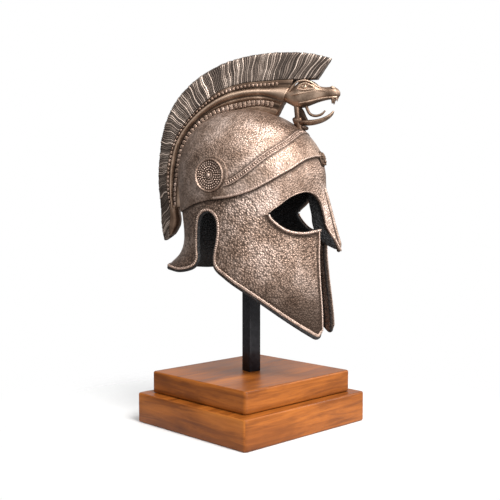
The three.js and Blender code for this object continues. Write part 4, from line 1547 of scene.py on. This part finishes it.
def build_stage():
    """A pale floor that fades into the backdrop all round."""
    bpy.ops.mesh.primitive_circle_add(vertices=96, radius=1.6, fill_type="NGON", location=(0, 0, -0.0002))
    floor = bpy.context.object
    floor.name = "floor"
    material, graph, shader = new_material("pale_floor")
    reach = graph.add("ShaderNodeVectorMath", {0: graph.coords("Object")}, "LENGTH").outputs["Value"]
    graph.fill(shader, {
        "Base Color": grey(0.74),
        "Roughness": 0.9,
        "Alpha": graph.ramp(reach, [(0.17, 1.0), (0.42, 0.0)]),
    })
    floor.data.materials.append(material)


def area_light(name, place, target, size, power, color=(1, 1, 1)):
    data = bpy.data.lights.new(name, "AREA")
    data.shape = "RECTANGLE"
    data.size, data.size_y = size
    data.energy = power
    data.color = color
    lamp = bpy.data.objects.new(name, data)
    lamp.location = place
    lamp.rotation_euler = (Vector(target) - Vector(place)).to_track_quat("-Z", "Y").to_euler()
    bpy.context.scene.collection.objects.link(lamp)


def build_world():
    """Soft surroundings, brightest towards the key light, behind a white backdrop."""
    world = bpy.data.worlds.new("studio")
    bpy.context.scene.world = world
    world.use_nodes = True
    graph = Graph(world.node_tree)
    inputs = {0: graph.coords("Generated"), 1: SOFT_SIDE}
    towards = graph.add("ShaderNodeVectorMath", inputs, "DOT_PRODUCT").outputs["Value"]
    place = graph.math("ADD", graph.times(towards, 0.5), 0.5)
    soft = graph.ramp(place, [(0.0, 0.15), (0.45, 0.27), (0.8, 0.8), (1.0, 1.1)])
    seen = graph.nodes.new("ShaderNodeLightPath").outputs["Is Camera Ray"]
    graph.put(graph.nodes["Background"].inputs["Color"], graph.mix(seen, soft, grey(1.0)))


def build_lights():
    area_light("key", (1.1, -0.8, 2.1), (0, 0, 0.3), (0.85, 0.85), 54, (1.0, 0.985, 0.965))
    area_light("side", (1.7, 1.0, 1.3), (0, 0, 0.2), (0.35, 0.35), 20)
    area_light("front", (-0.5, -1.7, 2.0), (0, 0, 0.35), (1.2, 1.2), 12)
    area_light("brow", (1.9, -1.4, 0.45), (0, 0, 0.3), (1.0, 0.8), 27)
    area_light("backdrop", (-0.8, 2.2, 0.7), (0, 0, 0.1), (2.2, 1.0), 5)


def build_camera():
    a = math.radians(VIEW_AZIMUTH)
    data = bpy.data.cameras.new("camera")
    data.sensor_width = 36
    data.lens = LENS_MM
    camera = bpy.data.objects.new("camera", data)
    x = math.sin(a) * VIEW_DISTANCE + VIEW_ASIDE * math.cos(a)
    y = -math.cos(a) * VIEW_DISTANCE + VIEW_ASIDE * math.sin(a)
    camera.location = (x * MM, y * MM, VIEW_HEIGHT * MM)
    camera.rotation_euler = (math.radians(90 - VIEW_PITCH), 0, a)
    bpy.context.scene.collection.objects.link(camera)
    bpy.context.scene.camera = camera


build_camera()
bpy.context.scene.view_settings.view_transform = "Standard"
build_world()
build_lights()
build_stage()
build_shell(Skin())
build_hair()
build_holder()
build_serpent()
build_rosette(-1, "rosette_disc_right", "rosette_right")
build_rosette(1, "rosette_disc_left", "rosette_left")
build_boss()
build_post()
lower = (TIER_ALONG, TIER_ACROSS)
upper = (TIER_ALONG - 2 * TIER_INSET, TIER_ACROSS - 2 * TIER_INSET)
tier_block("tier_lower", *lower, 0, LOWER_HIGH, TIER_EDGE, "plinth_lower")
tier_block("tier_upper", *upper, LOWER_HIGH + GAP, LOWER_HIGH + UPPER_HIGH, TIER_EDGE, "plinth_upper")
